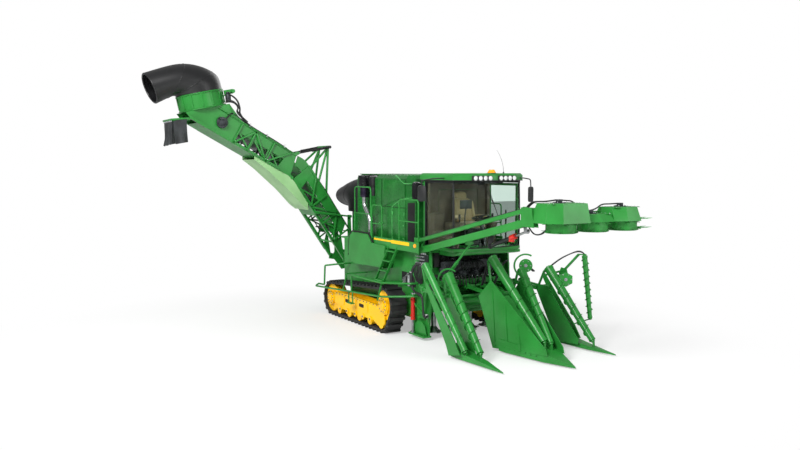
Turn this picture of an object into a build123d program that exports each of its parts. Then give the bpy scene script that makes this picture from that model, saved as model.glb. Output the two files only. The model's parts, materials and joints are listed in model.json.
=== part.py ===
"""Two-row sugarcane harvester on rubber tracks.

Millimetres, +X forward, +Y to the machine's left, +Z up.
The machine is laid out from the tips of its outer crop dividers (x = 0),
its centreline (y = 0) and the ground (z = 0). Each finished piece is then
moved so that the origin is under the middle of the whole machine.
"""
import os
from math import cos, radians, sin

from build123d import *

# Overall reach, measured from the outer divider tips and the centreline
front_reach = 1130
rear_reach = 9640
right_reach = 6260
left_reach = 1995

# Rubber tracks
track_centre_y = 1480
track_width = 430
belt_thickness = 50
lug_height = 45
lug_length = 70
lug_count = 44
idler_x = -7510
idler_radius = 425
sprocket_x = -4540
sprocket_radius = 425
sprocket_z = 700
front_roller_x = -4560
front_roller_radius = 235
roller_radius = 120
roller_count = 5
track_gap = 6

# Yellow track frames
frame_plate_inset = 25
frame_plate_thickness = 40
axle_radius = 90
axle_stations = (-6900, -5350)

# Chassis
chassis_half = 1130
plate_thickness = 40
chassis_rear_x = -7780
chassis_front_x = -3250
deck_z = 2120
deck_thickness = 60
throat_half = 640
throat_wall = 25
leg_foot_z = 110
deck_notch = 300
notch_half = 700
tail_z = 780
tail_thickness = 120
tow_x = -8060
tow_radius = 40
leg_cylinder_x = -3850
leg_cylinder_y = 1240

# Base cutter
cutter_x = -3660
cutter_spacing = 520
cutter_radius = 200
cutter_blade_reach = 252
cutter_z = 130
cutter_box_z = 640
cutter_box_height = 260
cutter_shaft_radius = 60
blades_per_disc = 5

# Feed train
roller_train = (
    # name, x, z, drum radius, rib height
    ("knockdown_roller", -3050, 850, 150, 60),
    ("feed_roller", -4200, 930, 120, 60),
)
rib_count = 6
rib_thickness = 14
roller_end_gap = 6
roller_shaft_radius = 35

# Crop dividers
divider_pivot_x = -3120
divider_pivot_z = 1250
divider_pin_radius = 35
divider_offset = 1450
divider_eyes = (1210, 1410)
divider_eye_half = 25
center_eye = 200
scroll_pitch = 260
flighted_share = 0.62
plates_per_turn = 10
plate_root = 14
plates_from = 40
center_plates_from = 480
scroll_shaft_radius = 20
scroll_stub = 32
scroll_boss_radius = 45
boss_length = 12
scroll_plate = 24
knife_top = (-1420, 1900, 2010)
knife_foot = (-1210, 1900, 600)
beam_x = -3350
beam_z = 1330
beam_size = 120
ear_thickness = 30

# Cab
cab_rear_x = -3860
cab_front_x = -2470
cab_half = 950
cab_floor_z = 2120
cab_roof_z = 3730
cab_roof_thickness = 170
cab_pillar = 70
glass_thickness = 12
roof_nose = 190
roof_cheek = 150
cheek_y = 620
lamp_places = (-560, -430, -300, -170, 130, 260, 390, 520)
lamp_rise = 62
door_gap = 6

# Engine housing
housing_front_x = -4230
housing_step_x = -5950
housing_rear_x = -7400
housing_half_front = 1130
housing_half_rear = 900
housing_top_z = 3850
housing_wall = 40
exhaust_y = 1100

# Walkways, rails, ladder and service panels
deck_plate = 40
panel_y = 1460
panel_thickness = 50
fascia_top = 2300
rail_radius = 17
ladder_x = -4520
ladder_half = 200
ladder_lean = -300
ladder_out = 240
ladder_foot_z = 1190
rung_count = 4
guard_y = 1850
guard_radius = 24
lamp_radius = 55

# Primary extractor
extractor_x = -8200
extractor_radius = 600
extractor_wall = 25
extractor_base_z = 2080
extractor_top_z = 2790
hood_radius = 700
hood_reach = 1260
hood_top_z = 3740
hood_wall = 30
hood_rim = 14
running_gap = 8

# Elevator slew axis and chords
slew_x = -9000
elevator_half = 500
elevator_side = 12
chord_size = 75
elevator_depth = 620
fold_u = 2390
fold_z = 3750
lower_length = 2850
lower_angle = 56.5
upper_length = 3230
upper_angle = 29.0
lift_pivot_u = 660
lift_pivot_z = 1350
chain_middle = 310
chain_radius = 150
chain_x = 360
slat_half = 420
slat_pitch = 260
post_x = 455
bowl_radius = 640
mast_u = 1190
mast_z = 4620
belly_radius = 300
knuckle_radius = 45
knee_outer = 640
knee_inner = 350
fold_pin_radius = 20
stay_u = 605
stay_z = 2620
eye_s = 150
eye_h = 690

# Top extractor on the elevator head
top_ring_u = 4820
top_ring_z = 6020
top_ring_radius = 610
top_ring_tilt = 12.5
top_ring_height = 430
top_fan_drop = 190
top_hood_wall = 25
flap_u = 5680
flap_z = 5270

# Topper
topper_y = -1200
topper_rear_x = -3650
topper_rear_z = 2080
topper_front_x = 240
topper_front_z = 2970
topper_link_rise = 240
topper_arm_width = 70
topper_lower_depth = 150
topper_upper_depth = 80
topper_pin_radius = 30
ram_offset = 150
ram_foot_x = -2900
ram_foot_z = 1390
ram_eye_x = -1744
ram_eye_z = 2420
ram_eye_half = 34
drum_x = 760
drum_places = (-760, 30, 820)
drum_radius = 290
drum_depth = 190
finger_count = 8
drum_finger = 370

# Small fits and seats
seat_gap = 0.3
shaft_gap = 0.05
frame_shift_x = (rear_reach - front_reach) / 2
frame_shift_y = (right_reach - left_reach) / 2


def slab(x0, x1, y0, y1, z0, z1, mode=Mode.ADD):
    """A box between two corners."""
    with Locations(((x0 + x1) / 2, (y0 + y1) / 2, (z0 + z1) / 2)):
        Box(abs(x1 - x0), abs(y1 - y0), abs(z1 - z0), mode=mode)


def pin(start, end, radius, mode=Mode.ADD):
    """A round bar between two points."""
    start, end = Vector(*start), Vector(*end)
    with Locations(Plane(origin=start, z_dir=end - start)):
        Cylinder(
            radius, (end - start).length,
            align=(Align.CENTER, Align.CENTER, Align.MIN), mode=mode,
        )


def cone(start, end, radius_start, radius_end, mode=Mode.ADD):
    """A tapered round bar between two points."""
    start, end = Vector(*start), Vector(*end)
    with Locations(Plane(origin=start, z_dir=end - start)):
        Cone(
            radius_start, radius_end, (end - start).length,
            align=(Align.CENTER, Align.CENTER, Align.MIN), mode=mode,
        )


def beam(start, end, width, depth, across=(0, 1, 0), mode=Mode.ADD):
    """A rectangular bar between two points, its width along the across direction."""
    start, end = Vector(*start), Vector(*end)
    along = (end - start).normalized()
    across = Vector(*across)
    across = (across - along * across.dot(along)).normalized()
    with Locations(Plane(origin=start, x_dir=across, z_dir=along)):
        Box(
            width, depth, (end - start).length,
            align=(Align.CENTER, Align.CENTER, Align.MIN), mode=mode,
        )


def side_plate(points, y0, y1, mode=Mode.ADD):
    """An outline in x and z, extruded from y0 to y1."""
    low = min(y0, y1)
    with BuildSketch(Plane(origin=(0, low, 0), x_dir=(1, 0, 0), z_dir=(0, -1, 0))) as outline:
        Polygon(*points, align=None)
    extrude(to_extrude=outline.sketch, amount=-abs(y1 - y0), mode=mode)


def top_plate(points, z0, z1, mode=Mode.ADD):
    """An outline in x and y, extruded from z0 to z1."""
    with BuildSketch(Plane.XY.offset(z0)) as outline:
        Polygon(*points, align=None)
    extrude(to_extrude=outline.sketch, amount=z1 - z0, mode=mode)


def cross_plate(points, x0, x1, mode=Mode.ADD):
    """An outline in y and z, extruded from x0 to x1."""
    low = min(x0, x1)
    with BuildSketch(Plane(origin=(low, 0, 0), x_dir=(0, 1, 0), z_dir=(1, 0, 0))) as outline:
        Polygon(*points, align=None)
    extrude(to_extrude=outline.sketch, amount=abs(x1 - x0), mode=mode)


def bent_rail(points, radius, bend):
    """A round tube that follows straight runs joined by bends."""
    with BuildLine() as route:
        FilletPolyline(*points, radius=bend)
    path = route.wires()[0]
    with BuildSketch(Plane(origin=path @ 0, z_dir=path % 0)) as section:
        Circle(radius)
    sweep(sections=section.sketch, path=path)


def finish(piece, name, place=(0, 0, 0), mirrored=False):
    """Moves a piece to the frame that the whole machine is centred in, and writes it."""
    solid = piece.part.moved(Location(place))
    if mirrored:
        solid = solid.mirror(Plane.XZ)
    solid = solid.moved(Location((frame_shift_x, frame_shift_y, 0)))
    solid.label = name
    export_step(solid, "parts/" + name + ".step")


os.makedirs("parts", exist_ok=True)
sides = (("right", -1), ("left", 1))


# Tracks: one closed belt with its lugs, written for each side
def belt_outline(inset):
    """The convex loop round the idler, the sprocket and the front roller."""
    rounds = (
        # x, z, radius
        (idler_x, lug_height + idler_radius, idler_radius),
        (sprocket_x, sprocket_z, sprocket_radius),
        (front_roller_x, lug_height + front_roller_radius, front_roller_radius),
    )
    with BuildSketch(Plane.XZ) as outline:
        for x, z, radius in rounds:
            with Locations((x, z)):
                Circle(radius - inset)
        make_hull()
    return outline.sketch


belt_loop = belt_outline(0).face().outer_wire()
belt_middle = belt_outline(0).face().center()
lug_planes = []
for i in range(lug_count):
    spot = belt_loop @ (i / lug_count)
    along = belt_loop % (i / lug_count)
    outward = along.cross(Vector(0, 1, 0))
    if outward.dot(spot - belt_middle) < 0:
        outward = outward * -1
    lug_planes.append(Plane(origin=Vector(spot.X, 0, spot.Z), x_dir=along, z_dir=outward))
with BuildPart() as track:
    half = track_width / 2
    shift = Location((0, half, 0))
    extrude(to_extrude=shift * belt_outline(0), amount=track_width)
    with Locations(*lug_planes):
        Box(lug_length, track_width, 2 * lug_height)
    extrude(to_extrude=shift * belt_outline(belt_thickness), amount=track_width, mode=Mode.SUBTRACT)
for side, sign in sides:
    finish(track, "track_" + side, (0, sign * track_centre_y, 0))

# Track frame: side plates, idler, sprocket, rollers and the axle beams
frame_outer = track_width / 2 - frame_plate_inset
wheel_inset = belt_thickness + track_gap
wheel_half = frame_outer - frame_plate_thickness - 15
idler_z = lug_height + idler_radius
axle_reach = track_centre_y - chassis_half
with BuildPart() as track_frame:
    for sign in (-1, 1):
        side_plate(
            [
                (-7380, 640), (-6500, 700), (-5050, 660), (-4750, 640), (-4480, 420),
                (-4480, 230), (-4640, 130), (-4860, 170), (-5050, 250), (-6900, 250),
                (-7080, 330), (-7300, 380),
            ],
            sign * frame_outer, sign * (frame_outer - frame_plate_thickness),
        )
    pin((idler_x, -frame_outer, idler_z), (idler_x, frame_outer, idler_z), 170)
    pin((idler_x, -wheel_half, idler_z), (idler_x, wheel_half, idler_z), idler_radius - wheel_inset)
    pin((sprocket_x, -frame_outer, sprocket_z), (sprocket_x, frame_outer, sprocket_z), 240)
    pin((sprocket_x, -wheel_half, sprocket_z), (sprocket_x, wheel_half, sprocket_z), sprocket_radius - wheel_inset)
    roller_z = lug_height + wheel_inset + roller_radius
    roller_pitch = (front_roller_x - idler_x - 620) / (roller_count - 1)
    with Locations(*[
        Plane(origin=(idler_x + 520 + i * roller_pitch, 0, roller_z), z_dir=(0, 1, 0))
        for i in range(roller_count)
    ]):
        Cylinder(roller_radius, 2 * frame_outer)
    slab(-7200, -4900, -wheel_half, wheel_half, 330, 560)
    for x in axle_stations:
        pin((x, 0, 520), (x, axle_reach, 520), axle_radius)
finish(track_frame, "track_frame_right", (0, -track_centre_y, 0))
finish(track_frame, "track_frame_left", (0, -track_centre_y, 0), mirrored=True)

# Chassis: side plates, deck, throat walls, cutter box, legs, tail and the topper's bracket
inner_face = chassis_half - plate_thickness / 2
arm_clear = topper_arm_width / 2 + 8
tank_outer = panel_y - panel_thickness
with BuildPart() as chassis:
    for sign in (-1, 1):
        side_plate(
            [
                (chassis_rear_x, 1150), (chassis_rear_x, deck_z - deck_thickness),
                (chassis_front_x, deck_z - deck_thickness), (chassis_front_x + 60, 1300),
                (chassis_front_x - 50, 420), (chassis_front_x - 80, leg_foot_z),
                (-3950, leg_foot_z), (-4020, 420), (-7100, 420), (-7400, 700),
            ],
            sign * chassis_half, sign * (chassis_half - plate_thickness),
        )
        side_plate(
            [
                (-7720, 900), (-7720, 1900), (-4050, 1350), (-3350, 1450), (-2890, 1000),
                (-2890, 740), (-3350, 640), (-4000, 640), (-4120, 260), (-4600, 260),
            ],
            sign * throat_half, sign * (throat_half + throat_wall),
        )
        side_plate(
            [(-6650, 1750), (-6450, 1520), (-5050, 1520), (-4950, 1650), (-4950, 2050), (-6650, 2050)],
            sign * inner_face, sign * (tank_outer - seat_gap),
        )
        slab(-3980, -3300, sign * (chassis_half - 60), sign * (chassis_half + 160), leg_foot_z - 40, leg_foot_z)
        side_plate(
            [(-4000, 1700), (-3300, 1700), (-3300, 1250), (-3420, 500), (-3700, 500), (-3780, 1250)],
            sign * inner_face, sign * (chassis_half + 70),
        )
        slab(
            leg_cylinder_x - 60, leg_cylinder_x + 60, sign * inner_face, sign * (leg_cylinder_y + 50),
            1000 + seat_gap, 1060,
        )
    slab(chassis_rear_x, chassis_front_x, -chassis_half, chassis_half, deck_z - deck_thickness, deck_z)
    slab(
        chassis_rear_x, chassis_rear_x + deck_notch, -notch_half, notch_half,
        deck_z - deck_thickness, deck_z, mode=Mode.SUBTRACT,
    )
    top_plate(
        [
            (chassis_rear_x, -chassis_half), (chassis_rear_x, chassis_half),
            (-8500, 420), (-9330, 330), (-9330, -330), (-8500, -420),
        ],
        tail_z, tail_z + tail_thickness,
    )
    slab(chassis_rear_x, chassis_rear_x + 60, -chassis_half, chassis_half, tail_z, 1300)
    slab(-3900, -3420, -inner_face, inner_face, cutter_box_z, cutter_box_z + cutter_box_height)
    slab(-3500, -3350, -inner_face, inner_face, 1500, 1700)
    slab(-6400, -6200, -inner_face, inner_face, 420, 620)
    beam((beam_x, -inner_face, beam_z), (beam_x, inner_face, beam_z), beam_size, beam_size, across=(0, 0, 1))
    ear = [
        (beam_x, beam_z + 60), (beam_x, beam_z - 60), (divider_pivot_x, divider_pivot_z - 60),
        (divider_pivot_x + 60, divider_pivot_z), (divider_pivot_x, divider_pivot_z + 60),
    ]
    for sign in (-1, 1):
        side_plate(ear, sign * (chassis_half - plate_thickness), sign * (chassis_half + ear_thickness))
        pin(
            (divider_pivot_x, sign * chassis_half, divider_pivot_z),
            (divider_pivot_x, sign * (divider_eyes[1] + divider_eye_half + 25), divider_pivot_z), divider_pin_radius,
        )
        side_plate(ear, sign * (center_eye + divider_eye_half + 8), sign * (center_eye + divider_eye_half + 33))
    pin(
        (divider_pivot_x, -center_eye - divider_eye_half - 20, divider_pivot_z),
        (divider_pivot_x, center_eye + divider_eye_half + 20, divider_pivot_z), divider_pin_radius,
    )
    for sign in (-1, 1):
        near = topper_y + sign * arm_clear
        side_plate(
            [
                (topper_rear_x - 120, 1800), (topper_rear_x - 120, topper_rear_z + topper_link_rise + 70),
                (topper_rear_x + 60, topper_rear_z + topper_link_rise + 70), (topper_rear_x + 110, topper_rear_z - 60),
                (topper_rear_x + 110, 1800),
            ],
            near, near + sign * 16,
        )
    slab(
        topper_rear_x - 120, topper_rear_x - 100, topper_y - arm_clear - 16, topper_y + arm_clear + 16,
        1800, 2300,
    )
    slab(topper_rear_x - 120, topper_rear_x + 110, topper_y + arm_clear, -inner_face, 1800, 2050)
    for rise in (0, topper_link_rise):
        z = topper_rear_z + rise
        pin((topper_rear_x, topper_y - arm_clear - 8, z), (topper_rear_x, topper_y + arm_clear + 8, z), topper_pin_radius)
    foot_y = topper_y + ram_offset
    for sign in (-1, 1):
        side_plate(
            [
                (beam_x, beam_z + 60), (beam_x, beam_z - 60), (ram_foot_x + 20, ram_foot_z - 60),
                (ram_foot_x + 50, ram_foot_z), (ram_foot_x, ram_foot_z + 50),
            ],
            foot_y + sign * 48, foot_y + sign * 66,
        )
    for name, x, z, drum, rib in roller_train:
        pin(
            (x, -throat_half - throat_wall - 1, z), (x, throat_half + throat_wall + 1, z),
            roller_shaft_radius + shaft_gap, mode=Mode.SUBTRACT,
        )
    pin((tow_x, 0, tail_z - 1), (tow_x, 0, tail_z + tail_thickness + 1), tow_radius, mode=Mode.SUBTRACT)
finish(chassis, "chassis")

# Base cutter discs, each with its shaft up into the cutter box
disc_names = ("base_cutter_1", "base_cutter_2", "base_cutter_3", "base_cutter_4")
for i, name in enumerate(disc_names):
    y = (i - (len(disc_names) - 1) / 2) * cutter_spacing
    with BuildPart() as disc:
        pin((cutter_x, y, cutter_z - 10), (cutter_x, y, cutter_z + 10), cutter_radius)
        pin((cutter_x, y, cutter_z + 10), (cutter_x, y, cutter_box_z - seat_gap), cutter_shaft_radius)
        cone((cutter_x, y, cutter_z + 10), (cutter_x, y, cutter_z + 130), 150, cutter_shaft_radius)
        for k in range(blades_per_disc):
            turn = radians(k * 360 / blades_per_disc + i * 36)
            beam(
                (cutter_x + (cutter_radius - 70) * cos(turn), y + (cutter_radius - 70) * sin(turn), cutter_z - 5),
                (cutter_x + cutter_blade_reach * cos(turn), y + cutter_blade_reach * sin(turn), cutter_z - 5),
                8, 80, across=(0, 0, 1),
            )
    finish(disc, name)

# Feed rollers between the throat walls
for name, x, z, drum, rib in roller_train:
    reach = throat_half - roller_end_gap
    with BuildPart() as roller:
        pin((x, -reach, z), (x, reach, z), drum)
        pin((x, -throat_half - throat_wall, z), (x, throat_half + throat_wall, z), roller_shaft_radius)
        for k in range(rib_count):
            turn = radians(k * 360 / rib_count)
            beam(
                (x + (drum - 10) * cos(turn), 0, z + (drum - 10) * sin(turn)),
                (x + (drum + rib) * cos(turn), 0, z + (drum + rib) * sin(turn)),
                2 * reach, rib_thickness,
            )
    finish(roller, name)

# Red leg cylinders in front of the tracks
with BuildPart() as leg_cylinders:
    for sign in (-1, 1):
        y = sign * leg_cylinder_y
        pin((leg_cylinder_x, y, leg_foot_z), (leg_cylinder_x, y, 420), 28)
        pin((leg_cylinder_x, y, 420), (leg_cylinder_x, y, 1000), 48)
finish(leg_cylinders, "leg_cylinders")

# Rounded service panels on the side tanks
panel_points = [
    (-6860, 1750), (-6790, 2230), (-6640, 2330), (-5760, 2330), (-5560, 2130),
    (-4840, 2110), (-4900, 1640), (-5000, 1560), (-6480, 1500), (-6680, 1560),
]
with BuildPart() as service_panels:
    for sign in (-1, 1):
        side_plate(panel_points, sign * (panel_y - panel_thickness), sign * panel_y)
finish(service_panels, "service_panels")

# Walkways on both sides with their fascia, handrails and ladders
deck_top = deck_z + deck_plate
rail_table = (
    # side, rear x, front x, foot z, top z
    ("right", -6600, -5700, 2155, 3530),
    ("right", -5640, -5110, 2155, 3090),
    ("right", -4250, -3370, 2250, 3280),
    ("left", -6600, -5700, 2155, 3530),
    ("left", -5640, -5110, 2155, 3090),
    ("left", -4400, -3900, 2155, 3120),
)
fascia_front = {"right": -3330, "left": -3850}
deck_front = {"right": -3900, "left": -3330}
face_y = tank_outer - 1
with BuildPart() as walkways:
    for side, sign in sides:
        outer = sign * face_y
        plan = [
            (housing_rear_x, sign * (housing_half_rear + 6)), (housing_rear_x, outer),
            (deck_front[side], outer), (deck_front[side], sign * (housing_half_front + 6)),
            (housing_step_x - 10, sign * (housing_half_front + 6)), (housing_step_x - 10, sign * (housing_half_rear + 6)),
        ]
        top_plate(plan, deck_z, deck_top)
        slab(-5500, fascia_front[side], outer, outer - sign * 20, deck_z - 60, fascia_top)
        rail_y = outer - sign * 20
        for rail_side, rear, front, foot, top in rail_table:
            if rail_side == side:
                bent_rail([(rear, rail_y, foot), (rear, rail_y, top), (front, rail_y, top), (front, rail_y, foot)], rail_radius, 90)
                middle = (foot + top) / 2
                pin((rear, rail_y, middle), (front, rail_y, middle), rail_radius * 0.8)
        for x in (ladder_x - ladder_half, ladder_x + ladder_half):
            beam(
                (x, outer - sign * 30, deck_z + 20), (x + ladder_lean, outer + sign * ladder_out, ladder_foot_z),
                60, 22, across=(0, 1, 0),
            )
        for k in range(rung_count):
            share = (k + 0.6) / rung_count
            x = ladder_x + ladder_lean * share
            y = outer - sign * 30 + sign * (ladder_out + 30) * share
            z = deck_z + 20 + (ladder_foot_z - deck_z - 20) * share
            slab(x - ladder_half, x + ladder_half, y - 60, y + 60, z - 12, z + 12)
finish(walkways, "walkways")

# Yellow stripe with its bare end plate, and the amber lamps: one at each stripe's end and the beacon on the roof
plate_front = {"right": -3750, "left": -3860}
lamp_z = {"right": 2220, "left": 2110}
with BuildPart() as stripes:
    for side, sign in sides:
        face = sign * face_y
        slab(-5490, -4600, face, face + sign * 4, 2215, 2260)
        slab(-4600, plate_front[side], face, face + sign * 4, 2195, 2275)
finish(stripes, "side_stripes")
with BuildPart() as amber_lamps:
    for side, sign in sides:
        face = sign * face_y
        pin((-3480, face, lamp_z[side]), (-3480, face + sign * 22, lamp_z[side]), 45)
    top = cab_roof_z + cab_roof_thickness
    pin((cab_front_x - 60, 60, top), (cab_front_x - 60, 60, top + 30), 95)
    cone((cab_front_x - 60, 60, top + 30), (cab_front_x - 60, 60, top + 85), 90, 60)
finish(amber_lamps, "amber_lamps")

# Guard rails beside the tracks
column_face = chassis_half + 70 + seat_gap
stay_y = track_centre_y + track_width / 2 + 40
with BuildPart() as guards:
    for side, sign in sides:
        y = sign * guard_y
        bent_rail(
            [
                (-3640, sign * column_face, 1010), (-3640, sign * (column_face + 60), 1010),
                (-4250, y, 960), (-8150, y, 720), (-8150, sign * 1762, 780), (-7760, sign * 1762, 800),
                (-7760, sign * 1740, 1330), (-7400, sign * 1330, 1400), (-7400, sign * (chassis_half + seat_gap), 1400),
            ],
            guard_radius, 40,
        )
        bent_rail(
            [
                (-5900, y, 850), (-5900, y, 1290), (-4300, y, 1290), (-3640, sign * 1420, 1320),
                (-3640, sign * column_face, 1320),
            ],
            guard_radius, 60,
        )
        for x in (-6060, -5840):
            slab(x - 12, x + 12, y - 12, y + 12, 560, 850)
        slab(-6072, -5828, y - 60, y + 60, 548, 572)
        for x in (-6400, -4500):
            beam((x, y, 830), (x, sign * stay_y, 1265), 30, 30, across=(1, 0, 0))
            slab(x - 15, x + 15, sign * (stay_y + 10), sign * (chassis_half + seat_gap), 1245, 1275)
finish(guards, "guard_rails")

# Engine, as one plain block under its housing
with BuildPart() as engine:
    slab(-7000, -5450, -430, 430, deck_z + seat_gap, 3150)
finish(engine, "engine_block")

# Engine housing: wide ahead, narrower where the exhaust stands beside it
housing_plan = [
    (housing_rear_x, -housing_half_rear), (housing_step_x, -housing_half_rear),
    (housing_step_x, -housing_half_front), (housing_front_x - 120, -housing_half_front),
    (housing_front_x, -housing_half_front + 200), (housing_front_x, housing_half_front - 200),
    (housing_front_x - 120, housing_half_front), (housing_step_x, housing_half_front),
    (housing_step_x, housing_half_rear), (housing_rear_x, housing_half_rear),
]
with BuildPart() as housing:
    top_plate(housing_plan, deck_z + seat_gap, housing_top_z)
    upper = housing.edges().group_by(Axis.Z)[-1]
    chamfer(upper, 90)
    with BuildSketch(Plane.XY.offset(deck_z + seat_gap)) as hollow:
        Polygon(*housing_plan, align=None)
        offset(amount=-housing_wall, kind=Kind.INTERSECTION)
    extrude(to_extrude=hollow.sketch, amount=housing_top_z - housing_wall - 90 - deck_z, mode=Mode.SUBTRACT)
    for sign in (-1, 1):
        slab(-5370, -5110, sign * housing_half_front, sign * (housing_half_front - 15), 2420, 3000, mode=Mode.SUBTRACT)
        slab(-5440, -4380, sign * (housing_half_front - 10), sign * (housing_half_front + 14), 3060, 3740)
finish(housing, "engine_housing")

# Cooler intake grille on the housing's rear wall, with its bars
with BuildPart() as grille:
    face = housing_rear_x - seat_gap
    slab(face - 50, face, -780, 780, 2350, 3600)
    slab(face - 50, face - 25, -730, 730, 2400, 3550, mode=Mode.SUBTRACT)
    for k in range(12):
        z = 2450 + k * 94
        slab(face - 45, face - 20, -735, 735, z, z + 22)
finish(grille, "intake_grille")

# Exhaust stack and air pre-cleaner on the right of the engine
with BuildPart() as exhaust:
    y = -exhaust_y
    pin((-6600, y, 3520), (-6600, y, 3830), 170)
    pin((-6600, y, 3240), (-6600, y, 3525), 120)
    bent_rail([(-6600, y, 3260), (-6600, y, 3020), (-6260, y, 2700), (-6260, y, deck_top + seat_gap)], 62, 120)
    slab(-6680, -6520, y + 60, -housing_half_rear - seat_gap, 3330, 3390)
finish(exhaust, "exhaust_stack")
with BuildPart() as cleaner:
    y = -exhaust_y + 20
    pin((-6120, y, 3560), (-6120, y, 3820), 130)
    pin((-6120, y, 3300), (-6120, y, 3565), 70)
    slab(-6180, -6060, y + 20, -housing_half_rear - seat_gap, 3380, 3440)
finish(cleaner, "air_precleaner")

# Cab: floor with rear wall and pillars, roof, glass, seat and the hinged door
wall_front = cab_rear_x + 60
with BuildPart() as cab:
    top_plate(
        [
            (cab_rear_x, -cab_half), (cab_front_x - 120, -cab_half), (cab_front_x, -cab_half + 260),
            (cab_front_x, cab_half - 260), (cab_front_x - 120, cab_half), (cab_rear_x, cab_half),
        ],
        deck_z + seat_gap, cab_floor_z + 80,
    )
    side_plate(
        [(chassis_front_x + 5, 1840), (-2700, 1880), (-2500, 2010), (-2500, 2130), (chassis_front_x + 5, 2130)],
        -cab_half + 60, cab_half - 60,
    )
    slab(cab_rear_x, wall_front, -cab_half, cab_half, cab_floor_z + 60, cab_roof_z)
    slab(cab_rear_x - 10, wall_front + 10, -560, 560, 2700, 3500, mode=Mode.SUBTRACT)
    for sign in (-1, 1):
        outer = sign * cab_half
        slab(cab_front_x - 190, cab_front_x - 120, outer, outer - sign * cab_pillar, cab_floor_z + 60, cab_roof_z)
        slab(wall_front - 5, cab_front_x - 150, outer, outer - sign * cab_pillar, cab_roof_z - 60, cab_roof_z)
finish(cab, "cab_shell")

with BuildPart() as roof:
    top_plate(
        [
            (cab_rear_x - 90, -cab_half - 40), (cab_front_x - 100, -cab_half - 40),
            (cab_front_x + roof_cheek, -cheek_y), (cab_front_x + roof_nose, 0), (cab_front_x + roof_cheek, cheek_y),
            (cab_front_x - 100, cab_half + 40), (cab_rear_x - 90, cab_half + 40),
        ],
        cab_roof_z, cab_roof_z + cab_roof_thickness,
    )
    chamfer(roof.edges().group_by(Axis.Z)[-1], 45)
finish(roof, "cab_roof")

with BuildPart() as lamps:
    for y in lamp_places:
        x = cab_front_x + roof_nose - abs(y) * (roof_nose - roof_cheek) / cheek_y + 6
        z = cab_roof_z + lamp_rise
        pin((x, y, z), (x + 28, y, z), lamp_radius)
finish(lamps, "roof_lamps")
glass_low = cab_floor_z + 80 + seat_gap
glass_high = cab_roof_z - seat_gap
with BuildPart() as glass:
    with BuildSketch(Plane.XY.offset(glass_low)) as screen:
        with BuildLine():
            ends = cab_half - 20
            start = cab_front_x - 120 + seat_gap
            outer_arc = ThreePointArc((start, -ends), (cab_front_x + 60, 0), (start, ends))
            inner_arc = ThreePointArc((start, ends - 40), (cab_front_x + 60 - glass_thickness, 0), (start, -ends + 40))
            Line(outer_arc @ 1, inner_arc @ 0)
            Line(inner_arc @ 1, outer_arc @ 0)
        make_face()
    extrude(to_extrude=screen.sketch, amount=glass_high - glass_low)
    slab(
        wall_front + seat_gap, cab_front_x - 190 - seat_gap, -cab_half + 20, -cab_half + 20 + glass_thickness,
        glass_low, cab_roof_z - 60 - seat_gap,
    )
    slab(cab_rear_x + 24, cab_rear_x + 36, -560 + seat_gap, 560 - seat_gap, 2700 + seat_gap, 3500 - seat_gap)
finish(glass, "cab_glass")

with BuildPart() as seat:
    floor = cab_floor_z + 80 + seat_gap
    slab(-3500, -3060, -220, 220, floor, floor + 340)
    slab(-3560, -3000, -280, 280, floor + 340, floor + 480)
    beam((-3520, 0, floor + 430), (-3640, 0, floor + 1080), 480, 130)
    slab(-3480, -2980, -420, -290, floor + 420, floor + 620)
    slab(-3480, -2980, 290, 420, floor + 420, floor + 620)
    slab(-3480, -3100, -420, 420, floor + 420, floor + 460)
    slab(-2820, -2690, -60, 60, floor, floor + 30)
    beam((-2755, 0, floor + 20), (-2830, 0, floor + 620), 90, 90)
    pin((-2850, 0, floor + 600), (-2832, 0, floor + 630), 190)
finish(seat, "cab_seat")

door_rear = wall_front + door_gap
door_front = cab_front_x - 190 - door_gap
door_low = cab_floor_z + 80 + door_gap
door_high = cab_roof_z - 60 - door_gap
with BuildPart() as door:
    slab(door_rear, door_front, cab_half - 45, cab_half, door_low, door_high)
    slab(door_rear + 60, door_front - 60, cab_half - 50, cab_half + 5, door_low + 90, door_high - 60, mode=Mode.SUBTRACT)
    slab(door_front - 60, door_front - 30, cab_half - 2, cab_half + 30, 2750, 2900)
finish(door, "cab_door")
with BuildPart() as door_glass:
    slab(door_rear + 60, door_front - 60, cab_half - 30, cab_half - 18, door_low + 90, door_high - 60)
finish(door_glass, "cab_door_glass")

with BuildPart() as mirrors:
    roof_edge = cab_half + 40 + seat_gap
    bent_rail([(-2900, -roof_edge, 3790), (-2900, -1250, 3790), (-3050, -1500, 3740), (-3050, -1500, 3600)], 14, 60)
    slab(-3070, -3030, -1590, -1410, 3280, 3640)
    corner = Vector(cab_front_x + 25, (cab_half + 40 + cheek_y) / 2, 3790)
    outward = Vector(cab_half + 40 - cheek_y, roof_cheek + 100, 0).normalized()
    bent_rail(
        [corner + outward * seat_gap, corner + outward * 80, Vector(-2290, 1000, 3760), Vector(-2290, 1020, 3560)],
        14, 30,
    )
    slab(-2320, -2280, 940, 1100, 3240, 3600)
finish(mirrors, "mirrors")


# Hoods: a fan of elliptical sections that turns from a ring to a mouth
def hood_loft(stations, frame, inset=0):
    """A ruled loft through ellipses, each given by its two ends in the hood's side view."""
    sections = []
    for near_u, near_z, far_u, far_z, half_width in stations:
        low, high = frame(near_u, near_z), frame(far_u, far_z)
        span = high - low
        across = frame(near_u, near_z, 1) - low
        with BuildSketch(Plane(origin=(low + high) / 2, x_dir=span, z_dir=span.cross(across))) as section:
            Ellipse(span.length / 2 - inset, half_width - inset)
        sections.append(section.sketch)
    return sections


def primary_frame(back, z, x=0):
    """A point of the primary hood, from its distance behind the extractor axis."""
    return Vector(extractor_x - back, x, z)


def elevator_frame(u, z, x=0):
    """A point of the elevator, from its distance to the right of the slew axis."""
    return Vector(slew_x + x, -u, z)


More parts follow.
